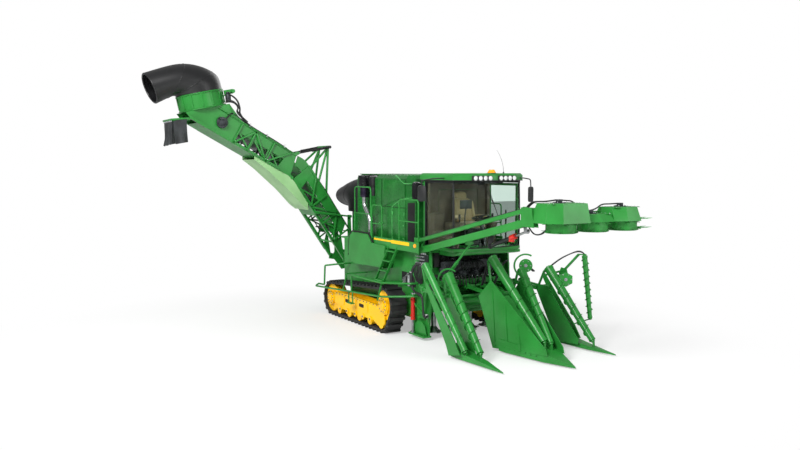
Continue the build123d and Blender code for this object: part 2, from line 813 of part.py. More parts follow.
def lower_at(s, h, x=0):
    """A point of the lower section, at s down from the fold and h above the bottom chord."""
    turn = radians(lower_angle)
    return elevator_frame(
        fold_u - s * cos(turn) - h * sin(turn), fold_z - s * sin(turn) + h * cos(turn), x)


def upper_at(s, h, x=0):
    """A point of the upper section, at s out from the fold and h above the bottom chord."""
    turn = radians(upper_angle)
    return elevator_frame(
        fold_u + s * cos(turn) - h * sin(turn), fold_z + s * sin(turn) + h * cos(turn), x)


def sheet(points, x0, x1, mode=Mode.ADD):
    """An outline given by points in the elevator's side view, extruded across it."""
    low, high = min(x0, x1), max(x0, x1)
    with BuildSketch(Plane(origin=(slew_x + high, 0, 0), x_dir=(0, -1, 0), z_dir=(-1, 0, 0))) as outline:
        Polygon(*[(-point.Y, point.Z) for point in points], align=None)
    extrude(to_extrude=outline.sketch, amount=high - low, mode=mode)


def belly(radius, first, last):
    """A pan that is a strip of a ring about the fold axis, between two angles seen from the front."""
    turns = [radians(first + (last - first) * k / 6) for k in range(7)]
    points = [elevator_frame(fold_u + radius * cos(t), fold_z + radius * sin(t)) for t in turns]
    inner = radius - 8
    points += [elevator_frame(fold_u + inner * cos(t), fold_z + inner * sin(t)) for t in reversed(turns)]
    sheet(points, -elevator_half + 10, elevator_half - 10)


# Primary extractor chamber, with its flange on the deck and the fan's cross bar
with BuildPart() as chamber:
    pin((extractor_x, 0, 1620), (extractor_x, 0, extractor_top_z), extractor_radius)
    slab(-7990, -7400, -notch_half - 60, notch_half + 60, deck_z, deck_z + 30)
    pin((extractor_x, 0, 1600), (extractor_x, 0, extractor_top_z + 10), extractor_radius - extractor_wall, mode=Mode.SUBTRACT)
    slab(-9200, -8330, -700, 700, 1500, 2200, mode=Mode.SUBTRACT)
    reach = extractor_radius - extractor_wall / 2
    beam((extractor_x, -reach, 2420), (extractor_x, reach, 2420), 90, 60, across=(1, 0, 0))
    pin((extractor_x, 0, 2390), (extractor_x, 0, 2500), 130)
finish(chamber, "extractor_chamber")
with BuildPart() as fan:
    pin((extractor_x, 0, 2500 + seat_gap), (extractor_x, 0, 2620), 120)
    for k in range(4):
        turn = k * 90
        reach = extractor_radius - extractor_wall - 20
        with Locations(Location((extractor_x, 0, 2560), (0, 0, turn)) * Location((reach / 2, 0, 0), (35, 0, 0))):
            Box(reach - 10, 170, 8)
finish(fan, "extractor_fan")
primary_stations = (
    # near back, near z, far back, far z, half width
    (hood_radius, 2800, -hood_radius, 2800, hood_radius),
    (hood_radius + 10, 2840, -hood_radius + 130, 3330, hood_radius),
    (hood_radius + 60, 2870, -hood_radius + 560, hood_top_z - 70, hood_radius - 10),
    (hood_radius + 180, 2880, 300, hood_top_z, hood_radius - 30),
    (hood_radius + 360, 2860, hood_reach, 3520, hood_radius - 70),
)
with BuildPart() as hood:
    loft(sections=hood_loft(primary_stations, primary_frame), ruled=True)
    pin((extractor_x, 0, extractor_top_z + running_gap), (extractor_x, 0, 2836), hood_radius + hood_rim)
    loft(sections=hood_loft(primary_stations, primary_frame, hood_wall), ruled=True, mode=Mode.SUBTRACT)
    pin((extractor_x, 0, 2700), (extractor_x, 0, 2812), extractor_radius - extractor_wall, mode=Mode.SUBTRACT)
finish(hood, "extractor_hood")

# Elevator turret: bearing ring, bowl and the two posts that carry the lift pivot
with BuildPart() as turret:
    top = tail_z + tail_thickness + seat_gap
    pin((slew_x, 0, top), (slew_x, 0, top + 60), 330)
    cone((slew_x, 0, top + 50), (slew_x, 0, 1540), 440, bowl_radius)
    cone((slew_x, 0, top + 90), (slew_x, 0, 1545), 420, bowl_radius - 20, mode=Mode.SUBTRACT)
    for sign in (-1, 1):
        x = sign * post_x
        sheet(
            [elevator_frame(*p) for p in (
                (150, 1000), (420, 960), (640, 1250), (720, 1330), (720, 1400), (650, 1500), (650, 2660),
                (560, 2660), (500, 1600), (200, 1500),
            )],
            x - 15, x + 15,
        )
        pin(elevator_frame(lift_pivot_u, lift_pivot_z, x), elevator_frame(lift_pivot_u, lift_pivot_z, sign * 535), 35)
        pin(elevator_frame(stay_u, stay_z, x), elevator_frame(stay_u, stay_z, sign * (elevator_half + 20)), 28)
finish(turret, "elevator_turret")

# Elevator lower section
chord_x = elevator_half - chord_size / 2
with BuildPart() as lower:
    for sign in (-1, 1):
        x = sign * chord_x
        beam(lower_at(80, chord_size / 2, x), lower_at(lower_length, chord_size / 2, x), chord_size, chord_size, across=(1, 0, 0))
        beam(lower_at(10, elevator_depth, x), lower_at(2050, elevator_depth, x), chord_size, 50, across=(1, 0, 0))
        sheet(
            [lower_at(20, 340), lower_at(20, elevator_depth), lower_at(2050, elevator_depth), lower_at(2240, 340)],
            x - elevator_side / 2, x + elevator_side / 2,
        )
        sheet(
            [lower_at(2050, elevator_depth), lower_at(2240, 340), lower_at(lower_length, 60), lower_at(lower_length - 400, 40), lower_at(1900, elevator_depth)],
            x - elevator_side / 2, x + elevator_side / 2,
        )
        sheet(
            [lower_at(60, 20), lower_at(15, elevator_depth), lower_at(240, elevator_depth), lower_at(420, 40)],
            x - elevator_side, x + elevator_side,
        )
        for start, end in ((420, 1050), (1050, 1500), (1500, 2050)):
            beam(lower_at(start, 60, x), lower_at(end, 380, x), 40, 40, across=(1, 0, 0))
            beam(lower_at(end, 380, x), lower_at(end, 60, x), 36, 36, across=(1, 0, 0))
        ear = sign * (post_x + 15 + 12)
        sheet(
            [elevator_frame(*p) for p in ((600, 1290), (600, 1410), (660, 1440), (790, 1480), (820, 1300), (660, 1270))],
            ear, ear + sign * 24,
        )
        pin(
            elevator_frame(lift_pivot_u, lift_pivot_z, ear - sign * 5), elevator_frame(lift_pivot_u, lift_pivot_z, ear + sign * 30),
            35 + shaft_gap, mode=Mode.SUBTRACT,
        )
        knee = [radians(108 + k * 7) for k in range(8)]
        sheet(
            [elevator_frame(fold_u + knee_outer * cos(t), fold_z + knee_outer * sin(t)) for t in knee]
            + [elevator_frame(fold_u + knee_inner * cos(t), fold_z + knee_inner * sin(t)) for t in reversed(knee)],
            sign * 428, sign * 440,
        )
        sheet(
            [lower_at(70, 340), lower_at(20, elevator_depth), lower_at(240, elevator_depth), lower_at(240, 340)],
            sign * 428, x,
        )
        low_leg, high_leg = lower_at(1000, elevator_depth, sign * 440), lower_at(90, elevator_depth, sign * 440)
        apex = elevator_frame(mast_u, mast_z, sign * 300)
        beam(low_leg, apex, 50, 50, across=(1, 0, 0))
        beam(high_leg, apex, 50, 50, across=(1, 0, 0))
        pin(elevator_frame(mast_u + 10, mast_z - 30, sign * 275), lower_at(560, 630, sign * 440), 32)
        inner, outer = elevator_half - chord_size, elevator_half - chord_size / 2 - 1.5
        pin(lower_at(0, 0, sign * inner), lower_at(0, 0, sign * outer), knuckle_radius)
        beam(lower_at(0, 0, sign * (inner + outer) / 2), lower_at(110, 40, sign * (inner + outer) / 2), outer - inner, 56, across=(1, 0, 0))
        pin(lower_at(0, 0, sign * inner), lower_at(0, 0, sign * elevator_half), fold_pin_radius)
    pin(elevator_frame(mast_u, mast_z, -340), elevator_frame(mast_u, mast_z, 340), 45)
    floor_half = chord_x - elevator_side / 2
    for s in (400, 1300, 2250):
        beam(lower_at(s, 30, -floor_half), lower_at(s, 30, floor_half), 40, 40, across=(0, 0, 1))
    sheet([lower_at(360, chain_middle - 4), lower_at(360, chain_middle + 4), lower_at(1800, chain_middle + 4), lower_at(1800, chain_middle - 4)], -floor_half, floor_half)
    sheet([lower_at(284, -6), lower_at(284, 2), lower_at(1300, 2), lower_at(1300, -6)], -elevator_half, elevator_half)
    for s in (220, 1960):
        pin(lower_at(s, chain_middle, -floor_half), lower_at(s, chain_middle, floor_half), 35)
        for x in (-chain_x, chain_x):
            pin(lower_at(s, chain_middle, x - 14), lower_at(s, chain_middle, x + 14), chain_radius - seat_gap)
    belly(belly_radius, 180 + lower_angle, 300)
finish(lower, "elevator_lower")

# Elevator upper section with its head and discharge ring
ring_turn = radians(top_ring_tilt)
ring_axis = elevator_frame(top_ring_u + sin(ring_turn), top_ring_z + cos(ring_turn)) - elevator_frame(top_ring_u, top_ring_z)
ring_centre = elevator_frame(top_ring_u, top_ring_z)
ring_foot = ring_centre - ring_axis * (top_ring_height + seat_gap)
ring_across = Vector(0, cos(ring_turn), sin(ring_turn))
ring_rear = ring_foot + ring_across * (top_ring_radius - 15)
ring_front = ring_foot - ring_across * (top_ring_radius - 15)
with BuildPart() as upper:
    for sign in (-1, 1):
        x = sign * chord_x
        beam(upper_at(80, chord_size / 2, x), upper_at(upper_length, chord_size / 2, x), chord_size, chord_size, across=(1, 0, 0))
        beam(upper_at(160, elevator_depth, x), upper_at(2300, elevator_depth, x), chord_size, 50, across=(1, 0, 0))
        sheet(
            [upper_at(180, 340), upper_at(180, elevator_depth), upper_at(2300, elevator_depth), upper_at(2300, 340)],
            x - elevator_side / 2, x + elevator_side / 2,
        )
        sheet(
            [upper_at(60, 10), upper_at(170, elevator_depth), upper_at(400, elevator_depth), upper_at(520, 40)],
            x - elevator_side, x + elevator_side,
        )
        outer, inner = elevator_half, elevator_half - chord_size / 2 + 1.5
        pin(upper_at(0, 0, sign * inner), upper_at(0, 0, sign * outer), knuckle_radius)
        beam(upper_at(0, 0, sign * (inner + outer) / 2), upper_at(110, 40, sign * (inner + outer) / 2), outer - inner, 56, across=(1, 0, 0))
        pin(
            upper_at(0, 0, sign * (inner - 1)), upper_at(0, 0, sign * (outer + 1)),
            fold_pin_radius + shaft_gap, mode=Mode.SUBTRACT,
        )
        sheet(
            [upper_at(170, 600), upper_at(105, 690), upper_at(120, 740), upper_at(185, 740), upper_at(270, 630)],
            sign * 445, sign * 470,
        )
        for start, end in ((520, 950), (950, 1450), (1450, 1950)):
            beam(upper_at(start, 60, x), upper_at(end, 380, x), 40, 40, across=(1, 0, 0))
            beam(upper_at(end, 380, x), upper_at(end, 60, x), 36, 36, across=(1, 0, 0))
        sheet(
            [upper_at(1900, 40), upper_at(1900, elevator_depth), ring_rear, ring_front, upper_at(upper_length, 20)],
            x - elevator_side, x + elevator_side,
        )
    floor_half = chord_x - elevator_side / 2
    sheet(
        [upper_at(2150, elevator_depth), ring_rear, ring_rear - ring_across * 18, upper_at(2150, elevator_depth - 18)],
        -elevator_half, elevator_half,
    )
    for s in (400, 1300, 2200, 3150):
        beam(upper_at(s, 30, -floor_half), upper_at(s, 30, floor_half), 40, 40, across=(0, 0, 1))
    sheet([upper_at(500, chain_middle - 4), upper_at(500, chain_middle + 4), upper_at(2750, chain_middle + 4), upper_at(2750, chain_middle - 4)], -floor_half, floor_half)
    sheet([upper_at(262, -6), upper_at(262, 2), upper_at(3000, 2), upper_at(3000, -6)], -elevator_half, elevator_half)
    for s in (360, 2900):
        pin(upper_at(s, chain_middle, -floor_half), upper_at(s, chain_middle, floor_half), 35)
        for x in (-chain_x, chain_x):
            pin(upper_at(s, chain_middle, x - 14), upper_at(s, chain_middle, x + 14), chain_radius - seat_gap)
    belly(belly_radius - 25, 288, 360 + upper_angle)
    for sign in (-1, 1):
        x = sign * (chord_x - 20)
        beam(upper_at(upper_length - 60, 40, x), elevator_frame(flap_u, flap_z, x), 40, 40, across=(1, 0, 0))
    beam(elevator_frame(flap_u - 20, flap_z, -chord_x), elevator_frame(flap_u - 20, flap_z, chord_x), 40, 40, across=(0, 0, 1))
finish(upper, "elevator_upper")

# Discharge ring on its round deck, with the fan's cross bar
with BuildPart() as discharge_ring:
    with Locations(Plane(origin=ring_centre - ring_axis * top_ring_height, z_dir=ring_axis)):
        Cylinder(top_ring_radius + 18, 14, align=(Align.CENTER, Align.CENTER, Align.MIN))
        Cylinder(top_ring_radius, top_ring_height, align=(Align.CENTER, Align.CENTER, Align.MIN))
    with Locations(Plane(origin=ring_centre - ring_axis * 16, z_dir=ring_axis)):
        Cylinder(top_ring_radius + 12, 16, align=(Align.CENTER, Align.CENTER, Align.MIN))
    with Locations(Plane(origin=ring_centre - ring_axis * (top_ring_height + 60), z_dir=ring_axis)):
        Cylinder(
            top_ring_radius - 40, top_ring_height + 120,
            align=(Align.CENTER, Align.CENTER, Align.MIN), mode=Mode.SUBTRACT,
        )
    beam(
        ring_centre - ring_axis * top_fan_drop + Vector(-top_ring_radius + 30, 0, 0),
        ring_centre - ring_axis * top_fan_drop + Vector(top_ring_radius - 30, 0, 0), 70, 50, across=(0, 1, 0),
    )
    with Locations(Plane(origin=ring_centre - ring_axis * (top_fan_drop + 20), z_dir=ring_axis)):
        Cylinder(100, 60, align=(Align.CENTER, Align.CENTER, Align.MIN))
finish(discharge_ring, "discharge_ring")


# Slat chains: each section's loop of two strands and its slats
def chain_loop(at, start, end, name):
    """A racetrack loop between two sprocket stations, its slats on both runs."""
    strand = 22
    with BuildPart() as chain:
        for x in (-chain_x, chain_x):
            for s in (start, end):
                pin(at(s, chain_middle, x - 15), at(s, chain_middle, x + 15), chain_radius + strand)
            sheet(
                [
                    at(start, chain_middle - chain_radius - strand), at(end, chain_middle - chain_radius - strand),
                    at(end, chain_middle + chain_radius + strand), at(start, chain_middle + chain_radius + strand),
                ],
                x - 15, x + 15,
            )
            for s in (start, end):
                pin(at(s, chain_middle, x - 20), at(s, chain_middle, x + 20), chain_radius, mode=Mode.SUBTRACT)
            sheet(
                [
                    at(start, chain_middle - chain_radius), at(end, chain_middle - chain_radius),
                    at(end, chain_middle + chain_radius), at(start, chain_middle + chain_radius),
                ],
                x - 20, x + 20, mode=Mode.SUBTRACT,
            )
        count = int((end - start) / slat_pitch) + 1
        places = []
        for k in range(count):
            s = start + (k + 0.5) * (end - start) / count
            for run in (-1, 1):
                h = chain_middle + run * (chain_radius + strand + 8)
                along = (at(s + 1, h) - at(s, h)).normalized()
                places.append(Plane(origin=at(s, h), x_dir=(1, 0, 0), z_dir=along))
        with Locations(*places):
            Box(2 * slat_half, 56, 14)
    finish(chain, name)


chain_loop(lower_at, 220, 1960, "elevator_chain_lower")
chain_loop(upper_at, 360, 2900, "elevator_chain_upper")


# Black fold cylinders from the mast, and the lift stays beside the lower section
with BuildPart() as fold_cylinders:
    for sign in (-1, 1):
        x = sign * 400
        start = elevator_frame(mast_u, mast_z, x)
        end = upper_at(eye_s, eye_h, x)
        half = start + (end - start) * 0.55
        pin(start, half, 38)
        pin(half, end, 22)
        pin(elevator_frame(mast_u, mast_z, sign * (340 + seat_gap)), elevator_frame(mast_u, mast_z, sign * 445), 42)
        pin(upper_at(eye_s, eye_h, sign * 370), upper_at(eye_s, eye_h, sign * 437), 40)
finish(fold_cylinders, "fold_cylinders")
with BuildPart() as lift_stays:
    for sign in (-1, 1):
        x = sign * (elevator_half + 48)
        foot = elevator_frame(1670, 2760, x)
        eye = elevator_frame(stay_u, stay_z, x)
        pin(foot, foot + (eye - foot) * 0.55, 38)
        pin(foot + (eye - foot) * 0.5, eye, 24)
        pin(elevator_frame(1670, 2760, sign * (elevator_half + seat_gap)), elevator_frame(1670, 2760, x + sign * 38), 46)
        pin(elevator_frame(stay_u, stay_z, x - sign * 20), elevator_frame(stay_u, stay_z, x + sign * 20), 42)
finish(lift_stays, "lift_stays")

# Top extractor: fan and the black hood that turns on the discharge ring
with BuildPart() as top_fan:
    base = ring_centre - ring_axis * (top_fan_drop - 40 - seat_gap)
    with Locations(Plane(origin=base, z_dir=ring_axis)):
        Cylinder(95, 70, align=(Align.CENTER, Align.CENTER, Align.MIN))
    for k in range(4):
        turn = k * 90
        reach = top_ring_radius - 60
        blade = Plane(origin=base + ring_axis * 44, z_dir=ring_axis).location * Location((0, 0, 0), (0, 0, turn))
        with Locations(blade * Location((reach / 2, 0, 0), (30, 0, 0))):
            Box(reach - 10, 140, 8)
finish(top_fan, "top_fan")
ring_half_u, ring_half_z = top_ring_radius * cos(ring_turn), top_ring_radius * sin(ring_turn)
lift_u, lift_z = (running_gap + 2) * sin(ring_turn), (running_gap + 2) * cos(ring_turn)
top_stations = (
    # near u, near z, far u, far z, half width
    (
        top_ring_u + ring_half_u + lift_u, top_ring_z - ring_half_z + lift_z,
        top_ring_u - ring_half_u + lift_u, top_ring_z + ring_half_z + lift_z, top_ring_radius,
    ),
    (5470, 5915, 4370, 6520, top_ring_radius),
    (5540, 5890, 4850, 6735, top_ring_radius - 10),
    (5680, 5820, 5430, 6740, top_ring_radius - 50),
    (5930, 5690, 6260, 6470, top_ring_radius - 120),
)
with BuildPart() as top_hood:
    loft(sections=hood_loft(top_stations, elevator_frame), ruled=True)
    loft(sections=hood_loft(top_stations, elevator_frame, top_hood_wall), ruled=True, mode=Mode.SUBTRACT)
finish(top_hood, "top_extractor_hood")

# Rubber flaps under the discharge end
chute_end = upper_at(upper_length - 60, 40)
fall = (chute_end.Z - flap_z) / (flap_u + chute_end.Y)


def flap_top(u):
    """Where a side flap ends under its bracket."""
    return flap_z + (flap_u - u) * fall - 21


with BuildPart() as flaps:
    slab(slew_x - chord_x + 50, slew_x + chord_x - 50, -flap_u + 15, -flap_u + 30, 4600, flap_z - 20 - seat_gap)
    for sign in (-1, 1):
        x = slew_x + sign * (chord_x - 20)
        cross_plate(
            [
                (-flap_u + 60, flap_top(flap_u - 60)), (-flap_u + 400, flap_top(flap_u - 400)),
                (-flap_u + 400, 4700), (-flap_u + 60, 4640),
            ],
            x - 6, x + 6,
        )
finish(flaps, "elevator_flaps")

# Topper: two parallel arms and their lift cylinder
def topper_arm(rise, depth, name):
    """One arm with an eye at each end, rise above the lower arm."""
    half = topper_arm_width / 2
    rear = Vector(topper_rear_x, topper_y, topper_rear_z + rise)
    front = Vector(topper_front_x, topper_y, topper_front_z + rise)
    along = (front - rear).normalized()
    with BuildPart() as arm:
        beam(rear + along * 60, front - along * 60, topper_arm_width, depth)
        for end in (rear, front):
            pin(end - Vector(0, half, 0), end + Vector(0, half, 0), 75)
        for end in (rear, front):
            pin(
                end - Vector(0, half + 1, 0), end + Vector(0, half + 1, 0),
                topper_pin_radius + shaft_gap, mode=Mode.SUBTRACT,
            )
        if rise == 0:
            inboard = topper_y + ram_offset - ram_eye_half - 6
            side_plate(
                [
                    (ram_eye_x - 60, ram_eye_z + 40), (ram_eye_x - 45, ram_eye_z - 35), (ram_eye_x + 45, ram_eye_z - 35),
                    (ram_eye_x + 80, ram_eye_z + 70),
                ],
                topper_y + half - 10, inboard,
            )
    finish(arm, name)


topper_arm(0, topper_lower_depth, "topper_lower_arm")
topper_arm(topper_link_rise, topper_upper_depth, "topper_upper_arm")
with BuildPart() as topper_cylinder:
    y = topper_y + ram_offset
    eye = Vector(ram_eye_x, y, ram_eye_z)
    foot = Vector(ram_foot_x, y, ram_foot_z)
    middle = foot + (eye - foot) * 0.55
    pin(foot, middle, 38)
    pin(middle, eye, 24)
    pin(eye - Vector(0, ram_eye_half, 0), eye + Vector(0, ram_eye_half, 0), 40)
    pin(foot - Vector(0, 48 - seat_gap, 0), foot + Vector(0, 48 - seat_gap, 0), 42)
finish(topper_cylinder, "topper_cylinder")

# Topper head with its tapered covers and three rotors
def cover(low, high, z0, z1):
    """A cover that narrows from its foot outline to its top outline."""
    sections = []
    for points, z in ((low, z0), (high, z1)):
        with BuildSketch(Plane.XY.offset(z)) as section:
            Polygon(*points, align=None)
        sections.append(section.sketch)
    loft(sections=sections, ruled=True)


head_covers = (
    # foot outline, top outline, rise above the pivot
    (
        [(400, -1260), (900, -1260), (1100, -1000), (1100, -330), (400, -330)],
        [(560, -1180), (860, -1180), (1040, -960), (1040, -360), (560, -360)], 390,
    ),
    (
        [(400, -340), (1000, -340), (1060, 20), (1000, 400), (400, 400)],
        [(480, -300), (900, -300), (960, 20), (900, 360), (480, 360)], 170,
    ),
    (
        [(400, 390), (1000, 390), (1100, 640), (1100, 1000), (900, 1180), (400, 1180)],
        [(520, 430), (880, 430), (1020, 660), (1020, 960), (860, 1100), (520, 1100)], 290,
    ),
)
with BuildPart() as head:
    for sign in (-1, 1):
        near = topper_y + sign * arm_clear
        side_plate(
            [
                (topper_front_x - 60, topper_front_z - 70),
                (topper_front_x - 60, topper_front_z + topper_link_rise + 60),
                (topper_front_x + 260, topper_front_z + topper_link_rise + 60),
                (topper_front_x + 330, topper_front_z - 70),
            ],
            near, near + sign * 16,
        )
    front = topper_front_x + 150
    slab(front, front + 120, topper_y - arm_clear, topper_y + arm_clear, topper_front_z - 60, topper_front_z + 290)
    topper_pins = (
        # rise, radius: the lower one is a fit, the upper one stands clear of its eye
        (0, topper_pin_radius), (topper_link_rise, topper_pin_radius - 12),
    )
    for rise, radius in topper_pins:
        z = topper_front_z + rise
        pin((topper_front_x, topper_y - arm_clear, z), (topper_front_x, topper_y + arm_clear, z), radius)
    slab(front, front + 160, topper_y + arm_clear, 1200, topper_front_z + 60, topper_front_z + 200)
    for low, high, rise in head_covers:
        cover(low, high, topper_front_z + 20, topper_front_z + rise)
finish(head, "topper_head")
for name, y in zip(("topper_drum_right", "topper_shredder", "topper_drum_left"), drum_places):
    with BuildPart() as drum:
        top = topper_front_z + 20 - seat_gap
        pin((drum_x, y, top - drum_depth), (drum_x, y, top), drum_radius)
        pin((drum_x, y, top - 16), (drum_x, y, top - 8), drum_radius + 30)
        pin((drum_x, y, top - drum_depth + 10), (drum_x, y, top - drum_depth + 18), drum_radius + 30)
        for level in (30, drum_depth - 30):
            for k in range(finger_count):
                turn = radians((k + 0.5 * (level == 30)) * 360 / finger_count)
                root = Vector(drum_x, y, 0) + Vector(cos(turn), sin(turn), 0) * (drum_radius - 30)
                tip = Vector(drum_x, y, 0) + Vector(cos(turn), sin(turn), 0) * drum_finger
                side = Vector(-sin(turn), cos(turn), 0) * 62
                top_plate(
                    [(root.X + side.X, root.Y + side.Y), (tip.X, tip.Y), (root.X - side.X, root.Y - side.Y)],
                    top - level, top - level + 8,
                )
    finish(drum, name)


# Crop dividers: scrolls first, then the shoes, walls and arms that carry them
def scroll(name, top, bottom, top_radius, bottom_radius, flight, first=plates_from):
    """A crop lifting tube with its flighting, carried by stub shafts at both ends."""
    top, bottom = Vector(*top), Vector(*bottom)
    along = (top - bottom).normalized()
    length = (top - bottom).length
    with BuildPart() as tube:
        cone(bottom, top, bottom_radius, top_radius)
        side = Vector(0, 1, 0).cross(along).normalized()
        across = along.cross(side)
        reach = length * flighted_share - first + plates_from
        plates = []
        for k in range(int(reach / scroll_pitch * plates_per_turn)):
            turn = radians(k * 360 / plates_per_turn)
            rise = first + k * scroll_pitch / plates_per_turn
            skin = bottom_radius + (top_radius - bottom_radius) * rise / length
            outward = side * cos(turn) + across * sin(turn)
            slope = (side * -sin(turn) + across * cos(turn)) * (skin * radians(360 / plates_per_turn))
            slope = (slope + along * (scroll_pitch / plates_per_turn)).normalized()
            centre = bottom + along * rise + outward * (skin + (flight - plate_root) / 2)
            plates.append(Plane(origin=centre, x_dir=outward, z_dir=outward.cross(slope)))
        width = 2 * (bottom_radius + top_radius + 2 * flight) / 2 * sin(radians(200 / plates_per_turn)) + 14
        with Locations(*plates):
            Box(flight + plate_root, width, 8)
        pin(bottom - along * scroll_stub, top + along * scroll_stub, scroll_shaft_radius)
    finish(tube, name)


def scroll_carrier(top, bottom, clear, top_anchor, bottom_anchor):
    """End bosses with their bores, and the brackets that tie them to the divider."""
    top, bottom = Vector(*top), Vector(*bottom)
    along = (top - bottom).normalized()
    behind = Vector(-along.Z, 0, along.X).normalized()
    plate = along * (boss_length + scroll_plate / 2)
    elbow = top + plate + behind * clear
    beam(top + plate, elbow + behind * 20, 60, scroll_plate)
    beam(elbow, Vector(*top_anchor), 40, 40)
    beam(bottom - plate - behind * 15, Vector(*bottom_anchor), 50, scroll_plate)
    for end, outward in ((top, along), (bottom, along * -1)):
        with Locations(Plane(origin=end + outward * seat_gap, z_dir=outward)):
            Cylinder(scroll_boss_radius, boss_length + scroll_plate, align=(Align.CENTER, Align.CENTER, Align.MIN))
        with Locations(Plane(origin=end, z_dir=outward)):
            Cylinder(
                scroll_shaft_radius + shaft_gap, scroll_stub + 1,
                align=(Align.CENTER, Align.CENTER, Align.MIN), mode=Mode.SUBTRACT,
            )


def shoe(centre, tip_x, tip_y, half_width, rear_x, nose_z, rear_z):
    """The wedge at a divider's foot: its plan cut by its side profile."""
    with BuildSketch(Plane.XY.offset(20)) as plan:
        Polygon(
            (tip_x, tip_y), (tip_x - 700, centre - half_width * 0.55), (rear_x, centre - half_width),
            (rear_x, centre + half_width), (tip_x - 700, centre + half_width * 0.55), align=None,
        )
    solid = extrude(to_extrude=plan.sketch, amount=400, mode=Mode.PRIVATE)
    with BuildSketch(Plane(origin=(0, centre - 900, 0), x_dir=(1, 0, 0), z_dir=(0, -1, 0))) as profile:
        Polygon(
            (tip_x + 10, 25), (tip_x + 10, 50), (tip_x - 900, nose_z), (rear_x - 10, rear_z),
            (rear_x - 10, 45), (rear_x + 200, 30), align=None,
        )
    side = extrude(to_extrude=profile.sketch, amount=-1800, mode=Mode.PRIVATE)
    add(solid & side)


scrolls = (
    # name, divider, top, bottom, top radius, bottom radius, flight, top anchor, bottom anchor
    (
        "scroll_right_outer", "right", (-2490, -1740, 1910), (-1160, -1600, 240), 82, 70, 12,
        (-2590, -1665, 1480), (-1160, -1530, 110),
    ),
    (
        "scroll_right_inner", "right", (-2260, -1290, 1680), (-900, -1400, 230), 110, 70, 35,
        (-2380, -1289, 1215), (-880, -1400, 90),
    ),
    (
        "scroll_center_right", "center", (-2070, -250, 2020), (-500, -60, 400), 105, 80, 25,
        (-2050, -252, 1170), (-470, -60, 170),
    ),
    (
        "scroll_center_left", "center", (-1720, 300, 1760), (-460, 95, 360), 95, 60, 35,
        (-2030, 303, 1170), (-430, 90, 150),
    ),
    (
        "scroll_left_inner", "left", (-1960, 1290, 1710), (-640, 1440, 240), 105, 70, 30,
        (-2320, 1288, 1215), (-600, 1450, 70),
    ),
)
for name, divider, top, bottom, top_radius, bottom_radius, flight, high, low in scrolls:
    scroll(
        name, top, bottom, top_radius, bottom_radius, flight,
        center_plates_from if divider == "center" else plates_from,
    )
scroll("side_knife", knife_top, knife_foot, 60, 50, 35)


def carriers(divider):
    """Every scroll carrier of one divider."""
    for name, owner, top, bottom, top_radius, bottom_radius, flight, high, low in scrolls:
        if owner == divider:
            scroll_carrier(top, bottom, top_radius + flight + 35, high, low)


def divider_arm(y, end_x, end_z):
    """A hinge eye on the pivot pin and the arm that runs forward from it."""
    pin((divider_pivot_x, y - divider_eye_half, divider_pivot_z), (divider_pivot_x, y + divider_eye_half, divider_pivot_z), 80)
    beam((divider_pivot_x + 40, y, divider_pivot_z), (end_x, y, end_z), 40, 90)


def slanted_plate(points, start, end, thickness):
    """An upright plate over a line in plan; its points are distances along that line, and heights."""
    line = Vector(end[0] - start[0], end[1] - start[1], 0).normalized()
    normal = line.cross(Vector(0, 0, 1))
    corner = Vector(start[0], start[1], 0) - normal * (thickness / 2)
    with BuildSketch(Plane(origin=corner, x_dir=line, z_dir=normal)) as outline:
        Polygon(*points, align=None)
    extrude(to_extrude=outline.sketch, amount=thickness)


def divider_bore(y):
    """The bore of a hinge eye."""
    pin(
        (divider_pivot_x, y - divider_eye_half - 1, divider_pivot_z),
        (divider_pivot_x, y + divider_eye_half + 1, divider_pivot_z),
        divider_pin_radius + shaft_gap, mode=Mode.SUBTRACT,
    )


inner_walls = {
    "right": [(-1250, 120), (-1660, 60), (-2250, 700), (-2400, 1150), (-2250, 1240), (-1350, 330)],
    "left": [(-900, 120), (-1620, 60), (-2420, 1300), (-1930, 1290), (-900, 240)],
}
for side, sign in sides:
    with BuildPart() as divider:
        shoe(sign * divider_offset, 0, sign * 1500, 170, -1660, 130, 200)
        side_plate(
            [(-1250, 150), (-1660, 60), (-1760, 260), (-2560, 1350), (-2620, 1480), (-2560, 1540), (-1450, 420)],
            sign * 1655, sign * 1675,
        )
        side_plate(inner_walls[side], sign * 1250, sign * 1268)
        for y in divider_eyes:
            divider_arm(sign * y, -2280, 1210)
        slab(-2400, -2300, sign * 1190, sign * 1660, 1170, 1250)
        slab(-1700, -1640, sign * 1255, sign * 1660, 150, 300)
        carriers(side)
        if side == "left":
            top, foot = Vector(*knife_top), Vector(*knife_foot)
            along = (top - foot).normalized()
            high = top + along * (boss_length + scroll_plate / 2)
            low = foot - along * (boss_length + scroll_plate / 2)
            elbow = high + Vector(-120, -60, 0)
            beam(high, elbow, 60, scroll_plate)
            beam(elbow, (-1850, 1670, 1640), 44, 44)
            beam((-1850, 1670, 1640), (-2540, 1670, 1440), 44, 44)
            side_plate([(-1940, 1700), (-1760, 1680), (-1700, 1520), (-1790, 1360), (-1960, 1380), (-2010, 1560)], 1655, 1675)
            beam(low, (-1500, 1665, 430), 40, scroll_plate)
            for end, outward in ((top, along), (foot, along * -1)):
                with Locations(Plane(origin=end + outward * seat_gap, z_dir=outward)):
                    Cylinder(scroll_boss_radius, boss_length + scroll_plate, align=(Align.CENTER, Align.CENTER, Align.MIN))
                with Locations(Plane(origin=end, z_dir=outward)):
                    Cylinder(
                        scroll_shaft_radius + shaft_gap, scroll_stub + 1,
                        align=(Align.CENTER, Align.CENTER, Align.MIN), mode=Mode.SUBTRACT,
                    )
        for y in divider_eyes:
            divider_bore(sign * y)
    finish(divider, "divider_" + side)
